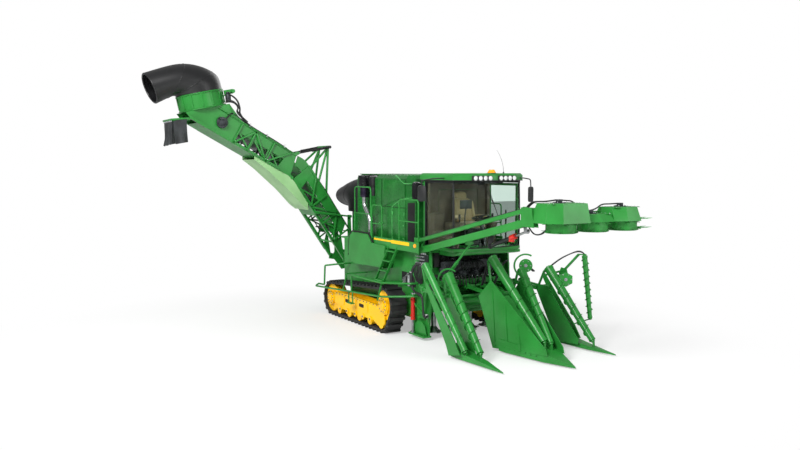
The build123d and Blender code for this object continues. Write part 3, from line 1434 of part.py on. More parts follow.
with BuildPart() as divider:
    shoe(0, 400, 0, 430, -1560, 240, 300)
    for sign in (-1, 1):
        slanted_plate(
            [(0, 60), (-470, 1150), (-80, 1560), (1560, 300), (1600, 180)],
            (-1780, sign * 425), (-260, sign * 236), 16,
        )
        divider_arm(sign * center_eye, -2000, 1160)
    slab(-2080, -1980, -440, 440, 1110, 1200)
    carriers("center")
    for sign in (-1, 1):
        divider_bore(sign * center_eye)
finish(divider, "divider_center")
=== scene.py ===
import json
from math import cos, radians, sin, tau

import bmesh
import bpy
from mathutils import Matrix, Vector


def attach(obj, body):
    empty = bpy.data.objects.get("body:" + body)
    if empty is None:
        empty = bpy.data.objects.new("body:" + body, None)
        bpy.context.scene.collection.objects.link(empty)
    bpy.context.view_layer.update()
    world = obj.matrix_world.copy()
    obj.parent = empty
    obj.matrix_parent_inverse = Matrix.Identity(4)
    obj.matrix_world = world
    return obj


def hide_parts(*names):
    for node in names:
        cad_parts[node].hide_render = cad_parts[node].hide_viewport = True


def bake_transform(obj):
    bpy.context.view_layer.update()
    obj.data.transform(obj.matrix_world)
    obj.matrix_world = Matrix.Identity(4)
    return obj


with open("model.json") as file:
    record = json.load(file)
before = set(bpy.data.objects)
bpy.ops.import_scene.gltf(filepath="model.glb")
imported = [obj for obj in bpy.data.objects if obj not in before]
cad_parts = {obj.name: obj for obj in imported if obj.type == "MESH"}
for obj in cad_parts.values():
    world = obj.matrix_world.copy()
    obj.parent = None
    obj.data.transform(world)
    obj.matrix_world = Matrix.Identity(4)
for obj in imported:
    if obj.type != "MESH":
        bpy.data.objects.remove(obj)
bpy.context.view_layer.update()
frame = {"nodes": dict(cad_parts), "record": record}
nodes = frame["nodes"]
print("frame loaded,", len(nodes), "nodes")

# The part is laid out from the tips of its outer dividers; this shift takes a place there into the frame
layoutShift = (4.255, 2.1325)


def spot(x, y, z):
    # layout millimetres to frame metres
    return Vector((x / 1000 + layoutShift[0], y / 1000 + layoutShift[1], z / 1000))


# Materials, each made of procedural nodes
def linear(hexColour):
    parts = [int(hexColour[i:i + 2], 16) / 255 for i in (1, 3, 5)]
    return tuple(c / 12.92 if c <= 0.04045 else ((c + 0.055) / 1.055) ** 2.4 for c in parts) + (1.0,)


def addNode(tree, kind, settings=None, inputs=None):
    # settings are the node's own properties; inputs hold values or another node's output
    node = tree.nodes.new(kind)
    for key, value in (settings or {}).items():
        setattr(node, key, value)
    for key, value in (inputs or {}).items():
        if isinstance(value, bpy.types.NodeSocket):
            tree.links.new(value, node.inputs[key])
        else:
            node.inputs[key].default_value = value
    return node


def newMaterial(name):
    material = bpy.data.materials.new(name)
    material.use_nodes = True
    tree = material.node_tree
    tree.nodes.clear()
    shader = addNode(tree, "ShaderNodeBsdfPrincipled")
    addNode(tree, "ShaderNodeOutputMaterial", inputs={"Surface": shader.outputs["BSDF"]})
    place = addNode(tree, "ShaderNodeTexCoord").outputs["Object"]
    return material, tree, shader, place


def tintBase(tree, shader, amount, dark, light, low=0.0, high=1.0):
    # the base colour runs between two shades of one finish
    tint = addNode(tree, "ShaderNodeValToRGB", inputs={"Fac": amount})
    first, last = tint.color_ramp.elements
    first.position, last.position = low, high
    first.color, last.color = linear(dark), linear(light)
    tree.links.new(tint.outputs["Color"], shader.inputs["Base Color"])


def enamel(name, colour, shade, rough=0.34, peel=0.05, edge=0.006):
    # sprayed machine enamel: even gloss with a faint cloudiness, fine orange peel and soft rounded edges
    material, tree, shader, place = newMaterial(name)
    cloud = addNode(tree, "ShaderNodeTexNoise", inputs={"Vector": place, "Scale": 1.7, "Detail": 4.0})
    tintBase(tree, shader, cloud.outputs["Fac"], shade, colour, 0.34, 0.66)
    dull = addNode(tree, "ShaderNodeTexNoise", inputs={"Vector": place, "Scale": 6.0, "Detail": 3.0})
    gloss = addNode(tree, "ShaderNodeMapRange", inputs={
        "Value": dull.outputs["Fac"], "To Min": rough - 0.07, "To Max": rough + 0.09})
    tree.links.new(gloss.outputs["Result"], shader.inputs["Roughness"])
    grain = addNode(tree, "ShaderNodeTexNoise", inputs={"Vector": place, "Scale": 240.0, "Detail": 1.0})
    rounded = addNode(tree, "ShaderNodeBevel", {"samples": 4}, {"Radius": edge})
    bump = addNode(tree, "ShaderNodeBump", inputs={
        "Height": grain.outputs["Fac"], "Strength": peel, "Distance": 0.001,
        "Normal": rounded.outputs["Normal"]})
    tree.links.new(bump.outputs["Normal"], shader.inputs["Normal"])
    shader.inputs["IOR"].default_value = 1.5
    shader.inputs["Specular IOR Level"].default_value = 0.32
    shader.inputs["Coat Weight"].default_value = 0.08
    shader.inputs["Coat Roughness"].default_value = 0.12
    return material


def metalFinish(name, colour, worn, rough, grainScale, metallic=1.0, bumpStrength=0.12):
    # bare or dark metal: brushed streaks and rubbed patches between two greys
    material, tree, shader, place = newMaterial(name)
    patch = addNode(tree, "ShaderNodeTexNoise", inputs={"Vector": place, "Scale": 9.0, "Detail": 6.0})
    tintBase(tree, shader, patch.outputs["Fac"], colour, worn, 0.4, 0.62)
    streak = addNode(tree, "ShaderNodeTexNoise", inputs={"Vector": place, "Scale": grainScale, "Detail": 2.0})
    gloss = addNode(tree, "ShaderNodeMapRange", inputs={
        "Value": streak.outputs["Fac"], "To Min": rough - 0.08, "To Max": rough + 0.12})
    tree.links.new(gloss.outputs["Result"], shader.inputs["Roughness"])
    bump = addNode(tree, "ShaderNodeBump", inputs={
        "Height": streak.outputs["Fac"], "Strength": bumpStrength, "Distance": 0.001})
    tree.links.new(bump.outputs["Normal"], shader.inputs["Normal"])
    shader.inputs["Metallic"].default_value = metallic
    return material


def mouldedBlack(name, colour, pale, rough, grainScale, depth):
    # moulded rubber or plastic: near black, a fine pebbled skin and lighter rubbed spots
    material, tree, shader, place = newMaterial(name)
    patch = addNode(tree, "ShaderNodeTexNoise", inputs={"Vector": place, "Scale": 4.0, "Detail": 5.0})
    tintBase(tree, shader, patch.outputs["Fac"], colour, pale, 0.35, 0.75)
    pebble = addNode(tree, "ShaderNodeTexVoronoi", inputs={"Vector": place, "Scale": grainScale})
    bump = addNode(tree, "ShaderNodeBump", inputs={
        "Height": pebble.outputs["Distance"], "Strength": depth, "Distance": 0.002})
    tree.links.new(bump.outputs["Normal"], shader.inputs["Normal"])
    shader.inputs["Roughness"].default_value = rough
    shader.inputs["IOR"].default_value = 1.5
    return material


def clearGlass(name, colour, rough=0.02):
    # tinted safety glass: mostly see-through, greenish where thick, with sharp reflections
    material, _, shader, _ = newMaterial(name)
    shader.inputs["Base Color"].default_value = linear(colour)
    shader.inputs["Transmission Weight"].default_value = 1.0
    shader.inputs["Roughness"].default_value = rough
    shader.inputs["IOR"].default_value = 1.1
    return material


def lensPlastic(name, colour, rough, ribScale, glow=0.0):
    # moulded lamp lens: clear coloured acrylic with fine ribs that break up the light
    material, tree, shader, place = newMaterial(name)
    ribs = addNode(tree, "ShaderNodeTexWave", {"bands_direction": "Z"}, {"Vector": place, "Scale": ribScale})
    bump = addNode(tree, "ShaderNodeBump", inputs={
        "Height": ribs.outputs["Fac"], "Strength": 0.4, "Distance": 0.002})
    tree.links.new(bump.outputs["Normal"], shader.inputs["Normal"])
    shader.inputs["Base Color"].default_value = linear(colour)
    shader.inputs["Roughness"].default_value = rough
    shader.inputs["IOR"].default_value = 1.49
    shader.inputs["Coat Weight"].default_value = 0.6
    shader.inputs["Emission Color"].default_value = linear(colour)
    shader.inputs["Emission Strength"].default_value = glow
    return material


def wovenCloth(name, colour, shade, thread):
    # woven seat cloth: crossed threads, drawn coarser than life so that they show
    material, tree, shader, place = newMaterial(name)
    warp = addNode(tree, "ShaderNodeTexWave", {"bands_direction": "X"}, {"Vector": place, "Scale": thread})
    weft = addNode(tree, "ShaderNodeTexWave", {"bands_direction": "Z"}, {"Vector": place, "Scale": thread})
    both = addNode(tree, "ShaderNodeMath", {"operation": "MULTIPLY"}, {
        0: warp.outputs["Fac"], 1: weft.outputs["Fac"]})
    tintBase(tree, shader, both.outputs["Value"], shade, colour)
    bump = addNode(tree, "ShaderNodeBump", inputs={
        "Height": both.outputs["Value"], "Strength": 0.3, "Distance": 0.002})
    tree.links.new(bump.outputs["Normal"], shader.inputs["Normal"])
    shader.inputs["Roughness"].default_value = 0.9
    shader.inputs["Sheen Weight"].default_value = 0.3
    return material


# Shapes: tubes, bars, plates, bolts, runs of points and skins, in frame metres
def frameAlong(direction):
    return direction.to_track_quat("Z", "Y").to_matrix().to_4x4()


def addTube(bm, start, end, radius, endRadius=None, sides=24):
    axis = end - start
    matrix = Matrix.Translation((start + end) / 2) @ frameAlong(axis)
    bmesh.ops.create_cone(
        bm, cap_ends=True, segments=sides, radius1=radius,
        radius2=radius if endRadius is None else endRadius, depth=axis.length, matrix=matrix)


def addColumn(bm, x, y, low, high, radius, endRadius=None, sides=24):
    # an upright tube at a layout place
    addTube(bm, spot(x, y, low), spot(x, y, high), radius, endRadius, sides)


def addBar(bm, start, end, width, depth, across=None):
    # a square bar; across is the way its width lies
    axis = end - start
    side = (across or Vector((0, 1, 0)))
    side = (side - axis.normalized() * side.dot(axis.normalized())).normalized()
    up = axis.normalized().cross(side)
    matrix = Matrix((side * width, up * depth, axis)).transposed().to_4x4()
    matrix.translation = (start + end) / 2
    bmesh.ops.create_cube(bm, size=1.0, matrix=matrix)


def addPlate(bm, outline, thickness):
    # a flat outline given a thickness, both as vectors
    low = [bm.verts.new(p - thickness / 2) for p in outline]
    high = [bm.verts.new(p + thickness / 2) for p in outline]
    bm.faces.new(low)
    bm.faces.new(list(reversed(high)))
    for i in range(len(low)):
        j = (i + 1) % len(low)
        bm.faces.new((low[j], low[i], high[i], high[j]))


def addSidePlate(bm, y, outline, thickness):
    # a plate that faces the side, from layout places in x and z
    addPlate(bm, [spot(x, y, z) for x, z in outline], Vector((0, thickness, 0)))


def addFrontPlate(bm, x, outline, thickness):
    # a plate that faces the front, from layout places in y and z
    addPlate(bm, [spot(x, y, z) for y, z in outline], Vector((thickness, 0, 0)))


def joinRows(bm, rows, closed=False):
    # faces between neighbouring rows of points
    for near, far in zip(rows, rows[1:]):
        count = len(near)
        for k in range(count if closed else count - 1):
            bm.faces.new((near[k], near[(k + 1) % count], far[(k + 1) % count], far[k]))


def thicken(bm, thickness):
    # a skin is given its thickness inward
    bmesh.ops.recalc_face_normals(bm, faces=bm.faces)
    bmesh.ops.solidify(bm, geom=list(bm.faces), thickness=thickness)


def addBolt(bm, place, normal, size=0.011):
    # washer, hexagon head and the thread's end
    normal = normal.normalized()
    addTube(bm, place - normal * 0.002, place + normal * size * 0.3, size * 1.5, sides=16)
    addTube(bm, place + normal * size * 0.2, place + normal * size * 1.1, size, sides=6)
    addTube(bm, place + normal * size * 1.1, place + normal * size * 1.5, size * 0.5, sides=10)


def addSweep(bm, points, radius, sides=10, closed=False):
    # a round section carried along a run of points
    rings, count = [], len(points)
    normal = None
    for i, point in enumerate(points):
        ahead = points[(i + 1) % count] if closed or i + 1 < count else point
        behind = points[i - 1] if closed or i > 0 else point
        along = (ahead - behind).normalized()
        if normal is None:
            normal = along.orthogonal().normalized()
        normal = (normal - along * normal.dot(along)).normalized()
        binormal = along.cross(normal)
        size = radius[i] if isinstance(radius, (list, tuple)) else radius
        rings.append([
            bm.verts.new(point + (normal * cos(tau * k / sides) + binormal * sin(tau * k / sides)) * size)
            for k in range(sides)])
    for i in range(count if closed else count - 1):
        near, far = rings[i], rings[(i + 1) % count]
        turn = 0
        if closed and i == count - 1:
            turn = min(range(sides), key=lambda s: (far[s].co - near[0].co).length)
        for k in range(sides):
            bm.faces.new((near[k], near[(k + 1) % sides], far[(k + 1 + turn) % sides],
                far[(k + turn) % sides]))
    if not closed:
        bm.faces.new(list(reversed(rings[0])))
        bm.faces.new(rings[-1])


def splineAt(p, q, r, s, t):
    # between q and r, with p before them and s after
    return 0.5 * (
        2 * q + (r - p) * t + (2 * p - 5 * q + 4 * r - s) * t * t + (3 * q - p - 3 * r + s) * t ** 3)


def blendPlaces(points, steps):
    # a smooth run through the given points
    full = [points[0], *points, points[-1]]
    run = [splineAt(*four, i / steps) for four in zip(full, full[1:], full[2:], full[3:])
        for i in range(steps)]
    return run + [points[-1]]


def finishPiece(name, bm, finish, body, bevel=0.0, smooth=32, replaced=()):
    bmesh.ops.recalc_face_normals(bm, faces=bm.faces)
    if bevel:
        sharp = [e for e in bm.edges if len(e.link_faces) == 2 and e.calc_face_angle() > radians(30)]
        bmesh.ops.bevel(bm, geom=sharp, offset=bevel, segments=2, profile=0.6, affect="EDGES",
            clamp_overlap=True)
    mesh = bpy.data.meshes.new(name)
    bm.to_mesh(mesh)
    bm.free()
    mesh.shade_smooth()
    mesh.set_sharp_from_angle(angle=radians(smooth))
    piece = bpy.data.objects.new(name, mesh)
    bpy.context.scene.collection.objects.link(piece)
    mesh.materials.append(finishes[finish])
    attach(piece, body)
    if replaced:
        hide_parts(*replaced)
    return piece


def hoseRun(name, runs, radius, body, finish="hose_rubber"):
    # hydraulic hoses held at both ends, each a smooth curve through the space between its fittings
    curve = bpy.data.curves.new(name, "CURVE")
    curve.dimensions = "3D"
    curve.bevel_depth = radius
    curve.bevel_resolution = 3
    curve.resolution_u = 8
    curve.use_fill_caps = True
    for run in runs:
        spline = curve.splines.new("NURBS")
        spline.points.add(len(run) - 1)
        for point, place in zip(spline.points, run):
            point.co = (*place, 1.0)
        spline.order_u = 3
        spline.use_endpoint_u = True
    piece = bpy.data.objects.new(name, curve)
    bpy.context.scene.collection.objects.link(piece)
    curve.materials.append(finishes[finish])
    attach(piece, body)
    return piece


def blendStations(stations, steps):
    # more stations between the given ones, along smooth curves
    full = [stations[0], *stations, stations[-1]]
    found = [
        tuple(splineAt(*four, i / steps) for four in zip(*near))
        for near in zip(full, full[1:], full[2:], full[3:]) for i in range(steps)]
    return found + [stations[-1]]


def hoodRing(station, side, count=56):
    nearU, nearZ, farU, farZ, halfWidth = station
    low, high = side(nearU, nearZ, 0), side(farU, farZ, 0)
    across = (side(nearU, nearZ, 1) - low) * halfWidth
    middle, half = (low + high) / 2, (high - low) / 2
    return [middle + half * cos(tau * k / count) + across * sin(tau * k / count) for k in range(count)]


def mouldHood(name, stations, side, lip, body, replaced):
    bm = bmesh.new()
    rings = [hoodRing(s, side) for s in blendStations(stations, 7)]
    rows = [[bm.verts.new(p) for p in ring] for ring in rings]
    count = len(rows[0])
    joinRows(bm, rows, closed=True)
    thicken(bm, 0.022)
    for ring, size in ((rings[-1], lip), (rings[0], lip * 0.7)):
        middle = sum(ring, Vector()) / len(ring)
        addSweep(bm, [p + (middle - p).normalized() * size * 0.9 for p in ring], size, sides=12, closed=True)
    # two moulded bands run round the elbow
    for index in (len(rings) // 3, 2 * len(rings) // 3):
        middle = sum(rings[index], Vector()) / count
        addSweep(bm, [p + (middle - p).normalized() * 0.004 for p in rings[index]], 0.011, sides=8,
            closed=True)
    return finishPiece(name, bm, "hood_plastic", body, smooth=50, replaced=replaced)


def primarySide(back, z, x):
    return spot(-8200 - back, x, z)


def elevatorSide(u, z, x):
    return spot(-9000 + x, -u, z)


def addBlock(bm, low, high):
    # a block between two corners in layout millimetres
    a, b = spot(*low), spot(*high)
    size = Vector([abs(q - p) for p, q in zip(a, b)])
    bmesh.ops.create_cube(bm, size=1.0, matrix=Matrix.Translation((a + b) / 2) @ Matrix.Diagonal((*size, 1)))


def addPipe(bm, places, radius, sides=12):
    # a bent pipe through layout places, its corners rounded by extra points
    points = [spot(*p) for p in places]
    run = [points[0]]
    for before, here, after in zip(points, points[1:], points[2:]):
        turn = min(radius * 3, (here - before).length * 0.4, (after - here).length * 0.4)
        start = here + (before - here).normalized() * turn
        end = here + (after - here).normalized() * turn
        run += [start.lerp(here, t).lerp(here.lerp(end, t), t) for t in (0, 0.25, 0.5, 0.75, 1)]
    addSweep(bm, run + [points[-1]], radius, sides=sides)


def addRoundedPlate(bm, corners, corner, thickness):
    # a plate whose corners are rounded; corners are frame points in one plane
    outline = []
    for i, here in enumerate(corners):
        before, after = corners[i - 1], corners[(i + 1) % len(corners)]
        start = here + (before - here).normalized() * corner
        end = here + (after - here).normalized() * corner
        outline += [start.lerp(here, t).lerp(here.lerp(end, t), t) for t in (0, 0.25, 0.5, 0.75, 1)]
    addPlate(bm, outline, thickness)


def cushionShape(bm, low, high, swell, lean=0.0, cuts=10):
    # a foam block with full faces and soft corners, leant back about its foot
    a, b = spot(*low), spot(*high)
    middle, half = (a + b) / 2, Vector([abs(q - p) / 2 for p, q in zip(a, b)])
    bmesh.ops.create_cube(bm, size=2.0)
    bmesh.ops.subdivide_edges(bm, edges=list(bm.edges), cuts=cuts, use_grid_fill=True)
    for v in bm.verts:
        p = v.co.copy()
        # superellipsoid corners, then each face swells most in its middle
        power = 5.0
        length = (abs(p.x) ** power + abs(p.y) ** power + abs(p.z) ** power) ** (1 / power)
        p /= length
        bulge = Vector([c * swell / h * (1 - q * q) * (1 - r * r) for c, h, q, r in (
            (p.x, half.x, p.y, p.z), (p.y, half.y, p.x, p.z), (p.z, half.z, p.x, p.y))])
        p = Vector([(c + d) * h for c, d, h in zip(p, bulge, half)])
        p.x -= (p.z + half.z) * lean
        v.co = middle + p


def roofFace(y):
    return -2470 + 190 - abs(y) * 40 / 620


def sectionSpot(s, h, x, upper):
    # s runs out from the fold along the section, h up from its bottom chord, x across it
    turn = radians(29.0 if upper else 56.5)
    way = 1 if upper else -1
    foldOut, foldHeight = 2390, 3750
    distance = foldOut + way * s * cos(turn) - h * sin(turn)
    height = foldHeight + way * s * sin(turn) + h * cos(turn)
    return elevatorSide(distance, height, x)


def addDisc(bm, centre, normal, radius, thick, sides):
    addTube(bm, centre, centre + normal.normalized() * thick, radius, sides=sides)


def addArc(bm, centre, normal, radius, width, depth, start, end):
    # a curved band in the plane across normal, from one angle to the other
    normal = normal.normalized()
    side = Vector((0, 0, 1)).cross(normal).normalized()
    up = normal.cross(side)
    count = max(4, int(abs(end - start) / 9))
    rows = []
    for k in range(count + 1):
        a = radians(start + (end - start) * k / count)
        out = side * cos(a) + up * sin(a)
        rows.append([bm.verts.new(centre + out * r + normal * d) for r, d in (
            (radius, 0), (radius + width, 0), (radius + width, depth), (radius, depth))])
    joinRows(bm, rows, closed=True)
    bm.faces.new(list(reversed(rows[0])))
    bm.faces.new(rows[-1])


# Real finishes, one for each of the record's slots and a few for the added pieces
finishes = {
    "green_paint": enamel("machineGreenEnamel", "#2a8836", "#24782d", rough=0.34),
    "yellow_paint": enamel("machineYellowEnamel", "#ffc800", "#f8bc00", rough=0.4),
    "red_paint": enamel("cylinderRedEnamel", "#c8261f", "#b3201a", rough=0.3),
    "black_paint": enamel("satinBlackEnamel", "#17191a", "#101213", rough=0.42, peel=0.04, edge=0.003),
    "dark_steel": metalFinish("oiledDarkSteel", "#3a3d3f", "#5b5f61", 0.45, 60.0, 0.85),
    "worn_steel": metalFinish("rubbedSteel", "#8b8e90", "#b8babb", 0.34, 90.0),
    "track_rubber": mouldedBlack("trackRubber", "#1b1c1d", "#2c2d2d", 0.72, 160.0, 0.35),
    "hood_plastic": mouldedBlack("rotomouldedHoodPlastic", "#101112", "#171719", 0.4, 210.0, 0.04),
    "flap_rubber": mouldedBlack("beltRubber", "#1f2223", "#33373a", 0.55, 130.0, 0.18),
    "cab_glass": clearGlass("tintedCabGlass", "#e4f0ea"),
    "seat_cloth": wovenCloth("wovenSeatCloth", "#cdb88f", "#9a8462", 120.0),
    "amber_lens": lensPlastic("amberAcrylic", "#ff9a00", 0.15, 60.0, 0.35),
    "lamp_lens": lensPlastic("clearLampAcrylic", "#d8dcdb", 0.12, 70.0, 0.02),
    "mirror_black": mouldedBlack("mirrorHousingPlastic", "#151617", "#1f2122", 0.4, 240.0, 0.08),
    "exhaust_steel": metalFinish("polishedExhaustSteel", "#c4c6c8", "#e2e3e4", 0.2, 50.0),
    # for the added pieces: dull hose cover, bright zinc, dark motors, dark seal rubber that also serves as
    # painted shade in recesses and openings, warm cab trim, blued steel, a paler green that sets off the
    # trim, and darker greens that are painted shade
    "hose_rubber": mouldedBlack("braidedHoseRubber", "#141516", "#262829", 0.5, 420.0, 0.3),
    "zinc_fitting": metalFinish("zincPlatedFitting", "#b9bcc0", "#dfe1e3", 0.25, 120.0),
    "cast_grey": metalFinish("castGreyMotor", "#2b2e31", "#43474a", 0.5, 80.0, 0.6),
    # dark seal rubber; the same material is painted shade in the throat, the side recess and the track slots
    "seal_rubber_and_shade": mouldedBlack("sealRubberAndPaintedShade", "#0b0c0c", "#141515", 0.8, 300.0, 0.2),
    "cab_trim": mouldedBlack("mouldedCabTrim", "#54493b", "#635848", 0.6, 260.0, 0.2),
    "mirror_silver": metalFinish("silveredMirror", "#d8dcde", "#e6e9ea", 0.1, 30.0, bumpStrength=0.0),
    "canister_black": enamel("glossBlackCanister", "#1a1a1e", "#0f0f12", rough=0.2, edge=0.002),
    "heat_tinted": metalFinish("heatTintedSteel", "#2f2a3c", "#4c4458", 0.3, 70.0, 0.9),
    "pale_green_sheet": enamel("paleGreenSheet", "#9cc98f", "#8cbb80", rough=0.45, edge=0.002),
    "green_light": enamel("greenTrimEnamel", "#4fa95a", "#489f52", rough=0.3),
    # a darker copy of the green enamel: painted shade on the louvres and the hood's front band
    "green_shade": enamel("shadedGreenEnamel", "#1d5c28", "#164e20", rough=0.45),
    "pale_metal": metalFinish("galvanisedSheet", "#9ea3a4", "#c5c9ca", 0.4, 45.0),
    # a darker copy of the green enamel: painted shade on the housing, its panels and the extractor's chamber
    "green_deep_shade": enamel("deepGreenPaintedShadeEnamel", "#1f6f2b", "#195f24", rough=0.26),
}
print("finishes made:", len(finishes))

# The tall housing and the extractor's chamber take a darker, glossier copy of the green enamel than the plain
# panels below; the darker colour is painted shade
ownFinishes = {"engine_housing": "green_deep_shade", "extractor_chamber": "green_deep_shade"}
for part in frame["record"]["subparts"]:
    finish = finishes[ownFinishes.get(part["node"], part["material_slot"])]
    for slot in nodes[part["node"]].material_slots:
        slot.material = finish
print("finishes given to the packed nodes")

# Scrolls: the tube, its end rings and the helical flighting that lifts the cane
scrollSizes = {
    "flightThickness": 0.007,
    "steps": 26,
    "runs": {
        # foot, top, foot radius, top radius, flight height, pitch,
        # then where the flighting begins and ends along the tube
        "scroll_right_outer": ((-1160, -1600, 240), (-2490, -1740, 1910), 70, 82, 12, 300, 0.03, 0.62),
        "scroll_right_inner": ((-900, -1400, 230), (-2260, -1290, 1680), 70, 110, 35, 240, 0.02, 0.72),
        "scroll_center_right": ((-500, -60, 400), (-2070, -250, 2020), 80, 105, 25, 300, 0.215, 0.62),
        "scroll_center_left": ((-460, 95, 360), (-1720, 300, 1760), 60, 95, 35, 240, 0.255, 0.88),
        "scroll_left_inner": ((-640, 1440, 240), (-1960, 1290, 1710), 70, 105, 30, 280, 0.03, 0.75),
        "side_knife": ((-1210, 1900, 600), (-1420, 1900, 2010), 50, 60, 35, 150, 0.03, 0.97),
    },
}
for name, (foot, top, footRadius, topRadius, height, pitch, begins, ends) in scrollSizes["runs"].items():
    foot, top = spot(*foot), spot(*top)
    axis = top - foot
    along = axis.normalized()
    side = along.orthogonal().normalized()
    cross = along.cross(side)
    footRadius, topRadius, height, pitch = footRadius / 1000, topRadius / 1000, height / 1000, pitch / 1000
    bm = bmesh.new()
    addTube(bm, foot, top, footRadius, topRadius, sides=48)
    addTube(bm, foot, foot + along * 0.03, footRadius + 0.006, sides=48)
    addTube(bm, top - along * 0.05, top, topRadius + 0.006, sides=48)
    addTube(bm, top - along * 0.3, top - along * 0.27, topRadius + 0.004, sides=48)
    for share in (0.0, 1.0):
        centre = foot + axis * share + along * (0.03 if share else -0.03)
        addTube(bm, centre - along * 0.016, centre + along * 0.016, 0.02, sides=20)
    steps = int((ends - begins) * axis.length / pitch * scrollSizes["steps"])
    strip = []
    for i in range(steps + 1):
        share = begins + (ends - begins) * i / steps
        angle = tau * i / scrollSizes["steps"]
        out = side * cos(angle) + cross * sin(angle)
        skin = footRadius + (topRadius - footRadius) * share
        rise = height * min(1.0, i / 8, (steps - i) / 8)
        centre = foot + axis * share
        if name == "side_knife":
            rise *= 0.55 + 0.45 * (i * 4 % scrollSizes["steps"]) / scrollSizes["steps"]
        half = along * scrollSizes["flightThickness"] / 2
        strip.append([bm.verts.new(centre + out * reach + half * way) for reach, way in (
            (skin - 0.004, -1), (skin + rise, -1), (skin + rise, 1), (skin - 0.004, 1))])
    joinRows(bm, strip, closed=True)
    bm.faces.new(list(reversed(strip[0])))
    bm.faces.new(strip[-1])
    finishPiece(name + "_flighted", bm, "green_paint", name, replaced=(name,))
print("scrolls flighted")

# Extractor hoods: moulded elbows with a thick rolled lip, a foot ring and two bands
mouldHood("primaryHoodMoulding", (
    # near back, near z, far back, far z, half width
    (712, 2800, -712, 2800, 712), (716, 2838, -600, 3230, 706), (745, 2870, -150, 3660, 694),
    (880, 2885, 420, 3735, 672), (1060, 2862, 1255, 3520, 632)), primarySide, 0.03, "extractor_hood",
    ("extractor_hood",))
mouldHood("topHoodMoulding", (
    (5417, 5898, 4225, 6162, 608), (5472, 5918, 4370, 6515, 606), (5540, 5892, 4850, 6728, 596),
    (5690, 5822, 5430, 6735, 560), (5935, 5695, 6255, 6465, 490)), elevatorSide, 0.026,
    "top_extractor_hood", ("top_extractor_hood",))
print("hoods moulded")

# Cab: slender black posts, floor, trimmed rear wall and the parts seen through its glass
bm = bmesh.new()
cabPlan = [(-3860, -950), (-2590, -950), (-2470, -690), (-2470, 690), (-2590, 950), (-3860, 950)]
addPlate(bm, [spot(x, y, 2160) for x, y in cabPlan], Vector((0, 0, 0.079)))
for low, high in (
        ((-3860, -950, 2200), (-3806, -560, 3730)), ((-3860, 560, 2200), (-3806, 950, 3730)),
        ((-3860, -560, 2200), (-3806, 560, 2700)), ((-3860, -560, 3500), (-3806, 560, 3730))):
    addBlock(bm, low, high)
noseSide = [(-3245, 2010), (-2700, 2020), (-2500, 2060), (-2500, 2120), (-3245, 2120)]
addPlate(bm, [spot(x, 0, z) for x, z in noseSide], Vector((0, 1.78, 0)))
finishPiece("cabFloorAndWall", bm, "green_paint", "chassis", bevel=0.012, replaced=("cab_shell",))

bm = bmesh.new()
for sign in (-1, 1):
    addPipe(bm, [(-2618, sign * 928, 2200), (-2600, sign * 930, 2900), (-2625, sign * 925, 3725)], 0.024,
        sides=10)
    addBlock(bm, (-3806, sign * 948, 3676), (-2600, sign * 892, 3729))
    addBlock(bm, (-3806, sign * 949, 2200), (-3760, sign * 905, 3690))
    addBlock(bm, (-3760, sign * 949, 2200), (-2610, sign * 915, 2222))
finishPiece("cabPosts", bm, "black_paint", "chassis", bevel=0.005)

bm = bmesh.new()
for low, high in (
        ((-3804, -900, 2204), (-3782, -565, 3715)), ((-3804, 565, 2204), (-3782, 900, 3715)),
        ((-3804, -565, 2204), (-3782, 565, 2695)), ((-3804, -565, 3505), (-3782, 565, 3715)),
        ((-3796, -552, 2706), (-3786, 552, 3494)),
        ((-3780, -880, 3698), (-2600, 880, 3722)),
        ((-3770, -890, 2204), (-3100, -560, 2560)), ((-3770, -880, 2560), (-3480, -600, 2960)),
        ((-3100, -890, 2204), (-2700, -700, 2420)), ((-3770, 470, 2204), (-3420, 870, 2620))):
    addBlock(bm, low, high)
# side console with its slanted top, and the trim round the left rear post
addSidePlate(bm, -480, ((-3560, 2560), (-3000, 2560), (-2880, 2700), (-2900, 2760), (-3560, 2740)), 0.17)
addSidePlate(bm, 480, ((-3560, 2560), (-3060, 2560), (-2960, 2690), (-2980, 2740), (-3560, 2720)), 0.17)
addBlock(bm, (-3782, 800, 2620), (-3700, 885, 3700))
addBlock(bm, (-3782, -885, 2960), (-3700, -800, 3700))
finishPiece("cabTrim", bm, "cab_trim", "chassis", bevel=0.022, smooth=50)

bm = bmesh.new()
# steering column with its wheel, display on an arm, joysticks and pedals
column = [spot(-2720, 0, 2210), spot(-2760, 0, 2500), spot(-2860, 0, 2860)]
addTube(bm, column[0], column[1], 0.07, 0.06)
addTube(bm, column[1], column[2], 0.055, 0.04)
wheelAxis = (column[2] - column[1]).normalized()
wheelSide = Vector((0, 1, 0))
wheelUp = wheelAxis.cross(wheelSide)
rim = [
    column[2] + wheelAxis * 0.02 + (wheelSide * cos(tau * k / 40) + wheelUp * sin(tau * k / 40)) * 0.2
    for k in range(40)]
addSweep(bm, rim, 0.015, sides=10, closed=True)
for k in range(3):
    addTube(bm, column[2], rim[k * 13 + 3], 0.011, sides=8)
addTube(bm, column[2] - wheelAxis * 0.01, column[2] + wheelAxis * 0.035, 0.055)
addPipe(bm, [(-2680, -560, 2300), (-2700, -560, 2900), (-2760, -480, 3160)], 0.016)
addBlock(bm, (-2790, -640, 3090), (-2745, -330, 3290))
addBlock(bm, (-2670, 560, 2230), (-2640, 590, 3050))
for y in (-470, 470):
    addTube(bm, spot(-3050, y, 2740), spot(-3040, y, 2870), 0.016, sides=12)
    addTube(bm, spot(-3040, y, 2860), spot(-3036, y, 2950), 0.03, 0.024, sides=16)
for y in (-180, 120, 210):
    addBlock(bm, (-2650, y - 35, 2212), (-2600, y + 35, 2290))
addBlock(bm, (-3300, -560, 3660), (-2750, 560, 3697))
finishPiece("cabControls", bm, "mirror_black", "chassis", bevel=0.008, smooth=50)

